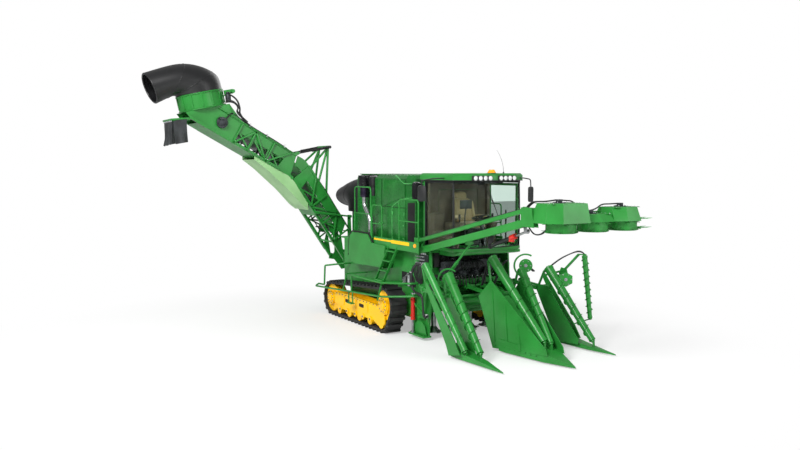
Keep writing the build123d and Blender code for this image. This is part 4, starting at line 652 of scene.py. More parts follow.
bm = bmesh.new()
addBlock(bm, (-2560, -330, 3640), (-2500, -190, 3715))
addPipe(bm, [(-2470, -260, 3670), (-2404, -230, 3640), (-2392, 60, 3140)], 0.009)
addPipe(bm, [(-2400, -90, 3500), (-2390, 210, 2780)], 0.008)
for sign in (-1, 1):
    # rubber seals along the windscreen's foot and head
    seal = [spot(-2598 + 196 * (1 - (y / 930) ** 2), sign * y, 0) for y in range(0, 931, 155)]
    for z in (2212, 3712):
        addSweep(bm, [p + Vector((0, 0, z / 1000)) for p in seal], 0.013, sides=8)
finishPiece("windscreenWiper", bm, "seal_rubber_and_shade", "chassis", smooth=50)

seatParts = {
    "seatBase": ((-3520, -265, 2610), (-2990, 265, 2745), 0.022, 0.0),
    "seatBack": ((-3600, -250, 2730), (-3470, 250, 3290), 0.024, 0.22),
    "seatHeadrest": ((-3725, -140, 3290), (-3625, 140, 3440), 0.016, 0.2),
    "seatArmRight": ((-3480, -345, 2840), (-3060, -275, 2905), 0.008, 0.0),
    "seatArmLeft": ((-3480, 275, 2840), (-3060, 345, 2905), 0.008, 0.0),
    "seatBackLeftBolster": ((-3560, 205, 2760), (-3440, 275, 3230), 0.014, 0.22),
    "seatBackRightBolster": ((-3560, -275, 2760), (-3440, -205, 3230), 0.014, 0.22),
}
for name, (low, high, swell, lean) in seatParts.items():
    bm = bmesh.new()
    cushionShape(bm, low, high, swell, lean)
    piece = finishPiece(name, bm, "seat_cloth", "chassis", smooth=80)
bm = bmesh.new()
addBlock(bm, (-3480, -200, 2204), (-3060, 200, 2290))
for k in range(7):
    addBlock(bm, (-3440 + k * 3, -170, 2290 + k * 42), (-3100 - k * 3, 170, 2324 + k * 42))
addBlock(bm, (-3520, -240, 2582), (-3000, 240, 2614))
for y in (-80, 80):
    addTube(bm, spot(-3640, y, 3230), spot(-3668, y, 3340), 0.007, sides=10)
for y in (-300, 300):
    addBar(bm, spot(-3500, y, 2620), spot(-3460, y, 2850), 0.035, 0.05)
finishPiece("seatPedestal", bm, "mirror_black", "chassis", bevel=0.006, replaced=("cab_seat",))
print("cab fitted")

# Roof: recessed lamp strips, lamp bodies with bezels, gutter, whip aerial and the beacon's base
bm = bmesh.new()
lampPlaces = (-560, -430, -300, -170, 130, 260, 390, 520)
# the dark plates that line the lamp strips are the housings' black plastic and also painted shade of the
# recess
for low, high in ((-640, -95), (60, 600)):
    outer = [spot(roofFace(y) + 4, y, 0) for y in range(low, high + 1, 35)]
    lower = [p + Vector((0, 0, 3.733)) for p in outer]
    back = [p + Vector((-0.03, 0, 3.733)) for p in reversed(outer)]
    addPlate(bm, lower + back, Vector((0, 0, 0.004)))
    for near, far in zip(outer, outer[1:]):
        addPlate(bm, [near + Vector((0, 0, 3.737)), far + Vector((0, 0, 3.737)), far + Vector((0, 0, 3.85)),
            near + Vector((0, 0, 3.85))], Vector((0.006, 0, 0)))
for y in lampPlaces:
    x = roofFace(y) + 6
    addTube(bm, spot(x, y, 3792), spot(x + 30, y, 3792), 0.056, 0.061, sides=32)
finishPiece("lampHousings", bm, "mirror_black", "chassis", smooth=40)
bm = bmesh.new()
for y in lampPlaces:
    x = roofFace(y) + 36
    centre = spot(x, y, 3792)
    rings = []
    for rise, radius in ((0.0, 0.052), (0.006, 0.049), (0.011, 0.036), (0.013, 0.014)):
        rings.append([
            bm.verts.new(centre + Vector((rise, cos(tau * k / 28) * radius, sin(tau * k / 28) * radius)))
            for k in range(28)])
    joinRows(bm, rings, closed=True)
    bm.faces.new(rings[-1])
    bm.faces.new(list(reversed(rings[0])))
finishPiece("lampLenses", bm, "lamp_lens", "chassis", smooth=60, replaced=("roof_lamps",))
bm = bmesh.new()
eaves = [(-3950, -993), (-2570, -993), (-2318, -622), (-2278, 0), (-2318, 622), (-2570, 993), (-3950, 993)]
addPipe(bm, [(x, y, 3738) for x, y in eaves], 0.011, sides=8)
addColumn(bm, -2530, 60, 3898, 3912, 0.108, 0.1, sides=40)
addColumn(bm, -2440, 330, 3895, 3935, 0.022, 0.014, sides=16)
finishPiece("roofGutter", bm, "mirror_black", "chassis", smooth=50)
bm = bmesh.new()
whip = [spot(-2440 - 60 * t * t, 330 - 150 * t * t, 3930 + 500 * t) for t in (0, 0.2, 0.4, 0.6, 0.8, 1)]
addSweep(bm, whip, [0.0045, 0.004, 0.0035, 0.003, 0.0026, 0.002], sides=6)
finishPiece("whipAerial", bm, "mirror_black", "chassis", smooth=80)

# Mirrors: rounded shells on bent tubes with a silvered face
for side, (tube, centre, facing, width, height) in {
    "Right": ([(-2900, -992, 3790), (-2900, -1250, 3790), (-3050, -1500, 3740), (-3050, -1500, 3600)],
    (-3050, -1500, 3450), (0.97, -0.2, 0), 0.18, 0.36),
    "Left": ([(-2443, 810, 3790), (-2380, 870, 3790), (-2290, 1000, 3760), (-2290, 1015, 3560)],
    (-2300, 1020, 3410), (0.97, 0.2, 0), 0.15, 0.36),
}.items():
    bm = bmesh.new()
    addPipe(bm, tube, 0.014, sides=10)
    facing = Vector(facing).normalized()
    across = Vector((0, 0, 1)).cross(facing)
    middle = spot(*centre)
    square = ((-1, -1), (1, -1), (1, 1), (-1, 1))
    corners = [middle + across * (a * width / 2) + Vector((0, 0, b * height / 2)) for a, b in square]
    addRoundedPlate(bm, corners, 0.06, facing * 0.045)
    finishPiece("mirrorShell" + side, bm, "mirror_black", "chassis", bevel=0.012, smooth=50,
        replaced=("mirrors",) if side == "Right" else ())
    bm = bmesh.new()
    halfWidth, halfHeight = width / 2 - 0.015, height / 2 - 0.015
    corners = [
        middle - facing * 0.0235 + across * (a * halfWidth) + Vector((0, 0, b * halfHeight))
        for a, b in square]
    addRoundedPlate(bm, corners, 0.05, facing * 0.003)
    finishPiece("mirrorFace" + side, bm, "mirror_silver", "chassis")
print("roof and mirrors fitted")

# Exhaust: black canister with a collar, a bright pipe to the deck and its bracket
bm = bmesh.new()
addColumn(bm, -6600, -1100, 3560, 3825, 0.168, sides=48)
addColumn(bm, -6600, -1100, 3500, 3560, 0.125, 0.168, sides=48)
for z in (3590, 3690, 3790):
    addColumn(bm, -6600, -1100, z, z + 18, 0.172, sides=48)
addBlock(bm, (-6680, -1040, 3330), (-6520, -901, 3390))
finishPiece("exhaustCanister", bm, "canister_black", "chassis", bevel=0.003, smooth=45,
    replaced=("exhaust_stack",))
bm = bmesh.new()
addColumn(bm, -6600, -1100, 3250, 3500, 0.118, sides=40)
for z in (3262, 3470):
    addColumn(bm, -6600, -1100, z, z + 20, 0.124, sides=40)
finishPiece("exhaustCollar", bm, "heat_tinted", "chassis", smooth=45)
bm = bmesh.new()
addPipe(bm, [(-6600, -1100, 3255), (-6600, -1100, 3020), (-6260, -1100, 2700), (-6260, -1100, 2161)], 0.064,
    sides=28)
for a, b in (((-6600, -1100, 3215), (-6600, -1100, 3235)), ((-6260, -1100, 2600), (-6260, -1100, 2620)),
        ((-6260, -1100, 2165), (-6260, -1100, 2180))):
    addTube(bm, spot(*a), spot(*b), 0.072, sides=28)
finishPiece("exhaustPipe", bm, "exhaust_steel", "chassis", smooth=50)

# Pre-cleaner: a ribbed bowl on its neck; and the filter can behind the cab
bm = bmesh.new()
addColumn(bm, -6120, -1080, 3300, 3570, 0.068, sides=32)
addColumn(bm, -6120, -1080, 3560, 3790, 0.118, 0.128, sides=40)
addColumn(bm, -6120, -1080, 3790, 3822, 0.126, 0.07, sides=40)
for k in range(20):
    out = Vector((cos(tau * k / 20), sin(tau * k / 20), 0))
    addBar(bm, spot(-6120, -1080, 3580) + out * 0.122, spot(-6120, -1080, 3780) + out * 0.13, 0.012, 0.012,
        across=out.cross(Vector((0, 0, 1))))
addBlock(bm, (-6180, -1060, 3380), (-6060, -901, 3440))
finishPiece("preCleanerBowl", bm, "mirror_black", "chassis", smooth=45, replaced=("air_precleaner",))
bm = bmesh.new()
addColumn(bm, -4080, -1010, 3300, 3660, 0.105, sides=40)
addColumn(bm, -4080, -1010, 3660, 3690, 0.105, 0.06, sides=40)
addColumn(bm, -4080, -1010, 3270, 3300, 0.07, 0.105, sides=40)
for k in range(26):
    out = Vector((cos(tau * k / 26), sin(tau * k / 26), 0))
    addBar(bm, spot(-4080, -1010, 3325) + out * 0.105, spot(-4080, -1010, 3635) + out * 0.105, 0.01, 0.008,
        across=out.cross(Vector((0, 0, 1))))
addBlock(bm, (-4200, -1000, 3400), (-4100, -930, 3560))
finishPiece("filterCan", bm, "canister_black", "chassis", smooth=45)
print("exhaust and filters fitted")

# Engine housing: raised panels with gaps, louvres, curved lip, hatches and latches
bm = bmesh.new()
for sign in (-1, 1):
    side = sign * 1131
    addSidePlate(bm, side + sign * 7, ((-5030, 2185), (-4385, 2185), (-4385, 3040), (-4960, 3040),
        (-5030, 2960)), 0.014)
    addSidePlate(bm, side + sign * 6, ((-5560, 2185), (-5060, 2185), (-5060, 3030), (-5100, 3045),
        (-5520, 3045), (-5560, 3000)), 0.012)
    addSidePlate(bm, side + sign * 6, ((-5930, 2185), (-5590, 2185), (-5590, 3740), (-5930, 3740)), 0.012)
    addSidePlate(bm, side + sign * 21, ((-5430, 3070), (-4390, 3330), (-4390, 3730), (-5430, 3730)), 0.012)
    addSidePlate(bm, sign * 906, ((-7380, 2185), (-6760, 2185), (-6760, 3730), (-7380, 3730)), 0.01)
    addSidePlate(bm, sign * 906, ((-6730, 2185), (-6000, 2185), (-6000, 3240), (-6730, 3240)), 0.01)
for y0, y1 in ((-900, -40), (40, 900)):
    addBlock(bm, (-7250, y0, 3848), (-6300, y1, 3866))
addBlock(bm, (-6150, -620, 3848), (-4900, 620, 3868))
# the raised housing panels take the darker green copy too, painted shade
finishPiece("housingPanels", bm, "green_deep_shade", "chassis", bevel=0.006)

# louvre slats in the darker green: painted shade between them
bm = bmesh.new()
for sign in (-1, 1):
    for k in range(13):
        z = 2440 + k * 44
        addPlate(bm, [spot(-5364, sign * 1128, z), spot(-5116, sign * 1128, z),
            spot(-5116, sign * 1117, z + 26), spot(-5364, sign * 1117, z + 26)], Vector((0, 0, 0.003)))
for y in (-400, 0, 400):
    for k in range(9):
        addBlock(bm, (-4228, y - 150, 2420 + k * 60), (-4216, y + 150, 2450 + k * 60))
finishPiece("housingLouvres", bm, "green_shade", "chassis", bevel=0.002)

bm = bmesh.new()
for sign in (-1, 1):
    addBlock(bm, (-5366, sign * 1112, 2424), (-5114, sign * 1116.5, 2996))
    # seams between the panels
    for x, low, high in ((-5045, 2190, 3040), (-5575, 2190, 3740), (-5940, 2190, 3740)):
        addBlock(bm, (x - 7, sign * 1130.5, low), (x + 7, sign * 1133, high))
    addBlock(bm, (-5560, sign * 1130.5, 3046), (-4385, sign * 1133, 3058))
    # gasket round the service panel's upper edge
    y = sign * 1435
    addPipe(bm, [(-6900, y, 1700), (-6835, y, 2245), (-6665, y, 2358), (-5745, y, 2358), (-5545, y, 2158),
        (-5480, y, 2150)], 0.02, sides=8)
    addBlock(bm, (-6745, sign * 902, 2190), (-6735, sign * 908, 3730))
addFrontPlate(bm, -4232.5, ((-905, 2210), (-640, 2210), (-640, 3180), (-905, 3180)), 0.004)
seam = ((0.1, 2210), (1, 2210), (1, 3180), (0.1, 3180))
addPlate(bm, [spot(-4336 + t * 96, -1122 + t * 160, z) for t, z in seam], Vector((0.005, 0.003, 0)))
finishPiece("housingSeams", bm, "seal_rubber_and_shade", "chassis")

bm = bmesh.new()
for sign in (-1, 1):
    lip = [(-5030, 2190), (-5034, 2990), (-4985, 3075), (-4820, 3160), (-4600, 3235), (-4350, 3290)]
    addSweep(bm, blendPlaces([spot(x, sign * 1142, z) for x, z in lip], 5), 0.011, sides=8)
    swoosh = [(-4830, 3838), (-4740, 3800), (-4600, 3725), (-4450, 3660), (-4340, 3640)]
    crest = [spot(-4225, sign * 930, 3640), spot(-4216, sign * 300, 3648)]
    addSweep(bm, blendPlaces([spot(x, sign * 1150, z) for x, z in swoosh] + crest, 5), 0.013, sides=8)
addSweep(bm, [spot(-4350, -1136, 3290), spot(-4222, -930, 3300), spot(-4218, -660, 3300)], 0.012, sides=8)
for x, y, z in ((-5500, -1146, 2620), (-4440, -1148, 2620), (-4440, -1148, 2300), (-5640, -1146, 2620),
        (-6050, -914, 2700)):
    addTube(bm, spot(x, y, z), spot(x, y - 14, z), 0.022, sides=20)
    addBlock(bm, (x - 30, y - 14, z - 9), (x + 30, y - 22, z + 9))
for x in (-5000, -4420):
    for z in (2250, 2900):
        addColumn(bm, x, -1150, z - 45, z + 45, 0.011, sides=12)
finishPiece("housingTrim", bm, "green_light", "chassis", smooth=50)

# a darker green band over the hood's front corner: painted shade
bm = bmesh.new()
for sign in (-1, 1):
    addSidePlate(bm, sign * 1134, ((-4820, 3750), (-4600, 3700), (-4352, 3646), (-4352, 3757)), 0.006)
addFrontPlate(bm, -4226, ((-925, 3646), (925, 3646), (925, 3757), (-925, 3757)), 0.006)
finishPiece("hoodFrontBand", bm, "green_shade", "chassis", bevel=0.002)
print("housing dressed")

# Valve banks, fittings and hoses under the cab
bm = bmesh.new()
valveBanks = (
    # corner low, corner high
    ((-3640, -1250, 1790), (-3300, -1150, 2010)),
    ((-3340, -500, 1480), (-3240, 400, 1640)),
)
for low, high in valveBanks:
    addBlock(bm, low, high)
addBlock(bm, (-3248, -900, 1560), (-3200, 900, 1700))
addBlock(bm, (-3240, -860, 1700), (-3225, 860, 1840))
for y in (-700, -350, 0, 350, 700):
    addTube(bm, spot(-3200, y, 1600), spot(-3040, y * 0.98, 1560), 0.07, sides=24)
    addTube(bm, spot(-3040, y * 0.98, 1560), spot(-2990, y * 0.98, 1548), 0.05, sides=20)
finishPiece("valveBlocks", bm, "cast_grey", "chassis", bevel=0.006)
bm = bmesh.new()
low, high = valveBanks[0]
portRows, portColumns = 3, 6
for r in range(portRows):
    for c in range(portColumns):
        x = low[0] + (high[0] - low[0]) * (c + 0.5) / portColumns
        z = low[2] + (high[2] - low[2]) * (r + 0.5) / portRows
        addTube(bm, spot(x, low[1], z), spot(x, low[1] - 34, z), 0.017, sides=6)
        addTube(bm, spot(x, low[1] - 30, z), spot(x, low[1] - 58, z), 0.012, sides=14)
for c in range(9):
    y = -460 + c * 98
    for z in (1520, 1600):
        addTube(bm, spot(-3240, y, z), spot(-3180, y, z), 0.017, sides=6)
for x in (-3600, -3520, -3440, -3360):
    addColumn(bm, x, -1200, 2010, 2050, 0.02, sides=6)
for k in range(12):
    x, y = -3560 + k * 22, -1262 - (k % 3) * 12
    addTube(bm, spot(x, y, 1776 - (k % 4) * 14), spot(x, y, 1806 - (k % 4) * 14), 0.013, sides=6)
finishPiece("valveFittings", bm, "zinc_fitting", "chassis", smooth=35)
runs = []
for k in range(6):
    x = -3612 + k * 56
    runs.append([spot(x, -1262, 1830), spot(x - 10, -1310, 1800), spot(x - 60 + k * 12, -1330, 1650),
        spot(x - 80 + k * 10, -1280, 1450), spot(-3640 + k * 34, -1215, 1290 + k * 10)])
for k in range(9):
    y = -460 + k * 98
    runs.append([spot(-3180, y, 1520), spot(-3090, y, 1500), spot(-3060, y * 0.9, 1360 - (k % 3) * 60),
        spot(-3180, y * 0.8, 1240), spot(-3340, y * 0.75, 1250)])
    runs.append([spot(-3180, y, 1600), spot(-3120, y, 1640), spot(-3060, y * 0.8 + 40, 1730),
        spot(-3140, y * 0.6, 1830), spot(-3250, y * 0.5, 1845)])
hoseRun("underCabHoses", runs, 0.014, "chassis")
# the two thick hoses that loop from the valves past the right leg
runs = []
for shift in (0, 42):
    runs.append([spot(-3480 + shift, -1262, 1850), spot(-3640 + shift, -1330, 1760),
        spot(-3740 + shift, -1360, 1600), spot(-3760 + shift, -1370, 1300),
        spot(-3560 + shift, -1390, 1130), spot(-3300, -1400, 1140 - shift),
        spot(-3180, -1400, 1100 - shift), spot(-3160, -1390, 900), spot(-3190 + shift, -1370, 660),
        spot(-3230 + shift, -1300, 560), spot(-3300, -1188, 560 + shift)])
hoseRun("legHoses", runs, 0.021, "chassis")
bm = bmesh.new()
for low, high in (((-3760, -1395, 1570), (-3680, -1205, 1600)),
        ((-3640, -1420, 1080), (-3560, -1205, 1110)), ((-3330, -1230, 540), (-3270, -1172, 640))):
    addBlock(bm, low, high)
finishPiece("hoseClamps", bm, "zinc_fitting", "chassis", bevel=0.003)

# Legs: ribs, brackets, foot plates with bolts, braces, and the cylinders' rods and barrels
bm = bmesh.new()
for sign in (-1, 1):
    face = sign * 1204
    for z in (560, 820, 1080):
        addBlock(bm, (-3700, face, z), (-3430, face + sign * 16, z + 22))
    addSidePlate(bm, face + sign * 12, ((-3940, 1690), (-3880, 1690), (-3420, 1120), (-3420, 1030),
        (-3500, 1030)), 0.022)
    addSidePlate(bm, sign * 1190, ((-3980, 118), (-3320, 118), (-3400, 330), (-3520, 420), (-3700, 420),
        (-3860, 300)), 0.02)
    addBar(bm, spot(-3960, sign * 1200, 880), spot(-3420, sign * 1225, 620), 0.05, 0.04)
    for x in (-3940, -3780, -3620, -3460, -3340):
        addBolt(bm, spot(x, sign * 1250, 112), Vector((0, 0, 1)), 0.014)
finishPiece("legPlates", bm, "green_paint", "chassis", bevel=0.005)
bm = bmesh.new()
for sign in (-1, 1):
    addColumn(bm, -3850, sign * 1240, 112, 420, 0.029, sides=24)
    addColumn(bm, -3850, sign * 1240, 110, 150, 0.055, sides=24)
finishPiece("legRods", bm, "worn_steel", "chassis", smooth=50)
bm = bmesh.new()
for sign in (-1, 1):
    addColumn(bm, -3850, sign * 1240, 420, 1000, 0.05, sides=32)
    addColumn(bm, -3850, sign * 1240, 420, 465, 0.058, sides=32)
    addColumn(bm, -3850, sign * 1240, 950, 999, 0.058, sides=32)
    addTube(bm, spot(-3850, sign * 1290, 520), spot(-3850, sign * 1310, 520), 0.018, sides=6)
    addTube(bm, spot(-3850, sign * 1288, 900), spot(-3850, sign * 1312, 900), 0.018, sides=6)
finishPiece("legBarrels", bm, "red_paint", "chassis", bevel=0.003, smooth=45, replaced=("leg_cylinders",))

# Throat: ribs on the side sheets, bolted guide bands and the rollers' motors
bm = bmesh.new()
for sign in (-1, 1):
    for z in (760, 1000, 1240):
        addBlock(bm, (-3340, sign * 668, z), (-2960, sign * 684, z + 30))
    # curved guide band round the knockdown roller's end
    band, inner = (
        [spot(-3050 + cos(radians(a)) * reach, sign * 690, 850 + sin(radians(a)) * reach)
         for a in range(-60, 125, 15)] for reach in (330, 250))
    for (a, b), (c, d) in zip(zip(band, inner), zip(band[1:], inner[1:])):
        addPlate(bm, [a, c, d, b], Vector((0, 0.012, 0)))
    for a in (-40, 30, 100):
        addBolt(bm, spot(-3050 + cos(radians(a)) * 290, sign * 697, 850 + sin(radians(a)) * 290),
            Vector((0, sign, 0)), 0.013)
finishPiece("throatBands", bm, "green_paint", "chassis", bevel=0.003)
bm = bmesh.new()
for sign in (-1, 1):
    addTube(bm, spot(-3050, sign * 667, 850), spot(-3050, sign * 760, 850), 0.11, sides=32)
    addTube(bm, spot(-3050, sign * 760, 850), spot(-3050, sign * 860, 850), 0.075, sides=28)
    addTube(bm, spot(-4200, sign * 667, 930), spot(-4200, sign * 780, 930), 0.1, sides=28)
finishPiece("rollerMotors", bm, "cast_grey", "chassis", bevel=0.006, smooth=45)
print("under-cab machinery placed")

# Elevator: braces, belly sheet, chain motors, hoses and rubber flaps
for upper, body, posts, name in (
        (True, "elevator_upper", ((350, 900), (900, 1500), (1500, 1930)), "upperBraces"),
        (False, "elevator_lower", ((420, 1000), (1000, 1600), (1600, 2200)), "lowerBraces")):
    bm = bmesh.new()
    for sign in (-1, 1):
        x = sign * 512
        for k, (near, far) in enumerate(posts):
            low, high = (20, 590) if k % 2 else (590, 20)
            addBar(bm, sectionSpot(near, low, x, upper), sectionSpot(far, high, x, upper), 0.022, 0.045,
                across=Vector((1, 0, 0)))
            addBar(bm, sectionSpot(far, 20, x, upper), sectionSpot(far, 600, x, upper), 0.022, 0.045,
                across=Vector((1, 0, 0)))
        # angle flanges along both chords
        for h in (0, 622):
            addBar(bm, sectionSpot(420 if not upper else 300, h, sign * 509, upper),
                sectionSpot(2600 if not upper else 2700, h, sign * 509, upper), 0.05, 0.008,
                across=Vector((1, 0, 0)))
        for k in range(14):
            s = 450 + k * 160
            addBolt(bm, sectionSpot(s, 40, sign * 501, upper), Vector((sign, 0, 0)), 0.009)
    for k in range(6):
        s = 500 + k * 360
        addBar(bm, sectionSpot(s, 628, -505, upper), sectionSpot(s, 628, 505, upper), 0.05, 0.02,
            across=Vector((0, 1, 0)))
    finishPiece(name, bm, "green_paint", body, bevel=0.004)

bellyStations = (
    # the sheet's underside and the chord above it, as distance out and height
    ((3480, 4250), (3480, 4352)), ((3330, 4140), (3330, 4269)), ((3130, 3985), (3140, 4163)),
    ((2940, 3815), (2960, 4062)),
    ((2700, 3600), (2700, 3918)), ((2500, 3420), (2480, 3795)), ((2290, 3200), (2330, 3655)),
    ((2090, 2985), (2150, 3390)),
    ((1965, 2885), (1985, 3140)), ((1900, 2835), (1915, 3035)))
bm = bmesh.new()
stations = blendStations([(*low, *high, 0) for low, high in bellyStations], 4)
rows = []
for u, z, chordU, chordZ, _ in stations:
    low = [elevatorSide(u, z, x) for x in (-494, -250, 0, 250, 494)]
    row = [elevatorSide(chordU, chordZ, -496)] + low + [elevatorSide(chordU, chordZ, 496)]
    rows.append([bm.verts.new(p) for p in row])
joinRows(bm, rows)
thicken(bm, 0.006)
mesh = bpy.data.meshes.new("bellySheet")
bm.to_mesh(mesh)
bm.free()
mesh.shade_smooth()
mesh.set_sharp_from_angle(angle=radians(40))
belly = bpy.data.objects.new("bellySheet", mesh)
bpy.context.scene.collection.objects.link(belly)
mesh.materials.append(finishes["pale_green_sheet"])
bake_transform(belly)

bm = bmesh.new()
for sign in (-1, 1):
    centre = sectionSpot(2440, 330, sign * 505, True)
    addTube(bm, centre, centre + Vector((sign * 0.05, 0, 0)), 0.15, sides=36)
    addTube(bm, centre + Vector((sign * 0.05, 0, 0)), centre + Vector((sign * 0.115, 0, 0)), 0.095, sides=32)
    addTube(bm, centre + Vector((sign * 0.115, 0, 0)), centre + Vector((sign * 0.134, 0, 0)), 0.06, sides=24)
finishPiece("chainMotors", bm, "cast_grey", "elevator_upper", bevel=0.006, smooth=40)
bm = bmesh.new()
for sign in (-1, 1):
    centre = sectionSpot(2440, 330, sign * 505, True)
    addTube(bm, centre + Vector((sign * 0.048, 0, 0)), centre + Vector((sign * 0.066, 0, 0)), 0.118, sides=36)
    for k in range(8):
        out = Vector((0, cos(tau * k / 8), sin(tau * k / 8)))
        addBolt(bm, centre + Vector((sign * 0.05, 0, 0)) + out * 0.134, Vector((sign, 0, 0)), 0.009)
    for h in (-60, 60):
        fitting = centre + Vector((sign * 0.09, 0, h / 1000))
        addTube(bm, fitting, fitting + Vector((0, -0.11, 0.07)), 0.02, sides=6)
finishPiece("motorFittings", bm, "dark_steel", "elevator_upper", smooth=35)
runs = []
for k in range(2):
    x = 440 + k * 26
    runs.append([sectionSpot(500, 642 + k * 4, x, True), sectionSpot(900, 668, x + 6, True),
        sectionSpot(1500, 655, x - 4, True), sectionSpot(2000, 680, x, True),
        sectionSpot(2300, 720, x + 10, True), sectionSpot(2360, 640, x + 60, True),
        sectionSpot(2420, 380 - k * 30, x + 90, True)])
for k in range(3):
    x = 500 + k * 26
    runs.append([sectionSpot(1850, 700, x, True), elevatorSide(4000, 5480 + k * 20, x + 10),
        elevatorSide(3900, 5640, x + 30), elevatorSide(4080, 5800 + k * 15, x + 10),
        elevatorSide(4240, 5760 + k * 30, x - 60)])
    runs.append([elevatorSide(4120, 5980, x - 120), elevatorSide(3950, 5900, x - 60),
        elevatorSide(3860, 5620, x), elevatorSide(3900, 5400 + k * 20, x),
        sectionSpot(1700, 640, x - 30, True)])
hoseRun("headHoses", runs, 0.016, "elevator_upper")
runs = []
for k in range(2):
    x = 440 + k * 26
    runs.append([sectionSpot(500 + k * 10, 642, x, False), sectionSpot(900, 668, x, False),
        sectionSpot(1500, 650, x + 8, False), sectionSpot(2100, 664, x, False),
        sectionSpot(2500, 640, x - 10, False)])
hoseRun("lowerHoses", runs, 0.016, "elevator_lower")
bm = bmesh.new()
for s in (620, 1200, 1750):
    addBar(bm, sectionSpot(s, 622, 440, True), sectionSpot(s, 622, 580, True), 0.03, 0.012)
    addBar(bm, sectionSpot(s, 690, 450, True), sectionSpot(s, 690, 570, True), 0.03, 0.008)
finishPiece("hoseSaddles", bm, "zinc_fitting", "elevator_upper", bevel=0.002)

# ring: stiffeners, swing motor and bracket with its eye
bm = bmesh.new()
ringTurn = radians(12.5)
ringUp = Vector((0, -sin(ringTurn), cos(ringTurn)))
ringAcross = Vector((0, cos(ringTurn), sin(ringTurn)))
ringMiddle = elevatorSide(4820, 6020, 0)
for k in range(14):
    out = Vector((1, 0, 0)) * cos(tau * (k + 0.5) / 14) + ringAcross * sin(tau * (k + 0.5) / 14)
    addBar(bm, ringMiddle + out * 0.618 - ringUp * 0.37, ringMiddle + out * 0.618 - ringUp * 0.02, 0.05,
        0.016, across=out.cross(ringUp))
for low, high in ((0.035, 0.010), (0.4, 0.43)):
    level = ringMiddle - ringUp * (low + high) / 2
    rim = [
        level + (Vector((1, 0, 0)) * cos(tau * k / 72) + ringAcross * sin(tau * k / 72)) * 0.624
        for k in range(72)]
    addSweep(bm, rim, 0.013, sides=8, closed=True)
addBar(bm, elevatorSide(4230, 6030, 300), elevatorSide(3990, 6080, 300), 0.12, 0.05)
addBar(bm, elevatorSide(4230, 5950, 300), elevatorSide(3990, 6060, 300), 0.03, 0.05)
addTube(bm, elevatorSide(3990, 6080, 230), elevatorSide(3990, 6080, 370), 0.05, sides=24)
for s in (1980, 2200, 2420):
    addBar(bm, sectionSpot(s, 630, -505, True), sectionSpot(s, 630, 505, True), 0.06, 0.03,
        across=Vector((0, 1, 0)))
finishPiece("ringStiffeners", bm, "green_paint", "elevator_upper", bevel=0.003, smooth=40)
bm = bmesh.new()
addTube(bm, elevatorSide(4120, 5780, 330), elevatorSide(4135, 5990, 330), 0.075, sides=28)
addTube(bm, elevatorSide(4140, 6000, 330), elevatorSide(4145, 6050, 330), 0.05, sides=24)
finishPiece("hoodSwingMotor", bm, "cast_grey", "elevator_upper", bevel=0.004, smooth=40)

flapFolds = {"width": 0.80, "drop": 0.655, "columns": 36, "rows": 22}
bm = bmesh.new()
rows = []
for j in range(flapFolds["rows"] + 1):
    fall = j / flapFolds["rows"]
    row = []
    for i in range(flapFolds["columns"] + 1):
        share = i / flapFolds["columns"]
        wave = 0.035 * fall * sin(share * 15.0 + 0.8) + 0.022 * fall * sin(share * 31.0 + fall * 2.0)
        curl = 0.07 * max(0.0, fall - 0.75) * (1 - share)
        place = elevatorSide(5658, 5248, (share - 0.5) * flapFolds["width"] * 1000)
        row.append(bm.verts.new(place + Vector((0.01 * sin(fall * 5) * (share - 0.5),
            wave - curl - 0.02 * fall, -fall * (flapFolds["drop"] - 0.04 * share)))))
    rows.append(row)
joinRows(bm, rows)
thicken(bm, 0.008)
flap = finishPiece("rearFlap", bm, "flap_rubber", "elevator_upper", smooth=80, replaced=("elevator_flaps",))
for sign, side in ((-1, "Left"), (1, "Right")):
    bm = bmesh.new()
    rows = []
    for j in range(19):
        fall = j / 18
        row = []
        for i in range(13):
            share = i / 12
            out = 0.018 * fall * sin(share * 9.0 + 1.0 + sign) + 0.05 * fall * fall * (1 - share)
            top = elevatorSide(5620 - share * 340, 5230 + share * 95, sign * 443)
            row.append(bm.verts.new(top + Vector((sign * out, 0.03 * fall * fall,
                -fall * (0.6 + 0.03 * share)))))
        rows.append(row)
    joinRows(bm, rows)
    thicken(bm, 0.008)
    flap = finishPiece("sideFlap" + side, bm, "flap_rubber", "elevator_upper", smooth=80)
bm = bmesh.new()
for k in range(7):
    addBolt(bm, elevatorSide(5668, 5230, -340 + k * 113), Vector((0, -1, 0)), 0.012)
addBar(bm, elevatorSide(5666, 5230, -400), elevatorSide(5666, 5230, 400), 0.008, 0.05,
    across=Vector((0, 1, 0)))
finishPiece("flapClampStrip", bm, "zinc_fitting", "elevator_upper", bevel=0.002)
print("elevator dressed")

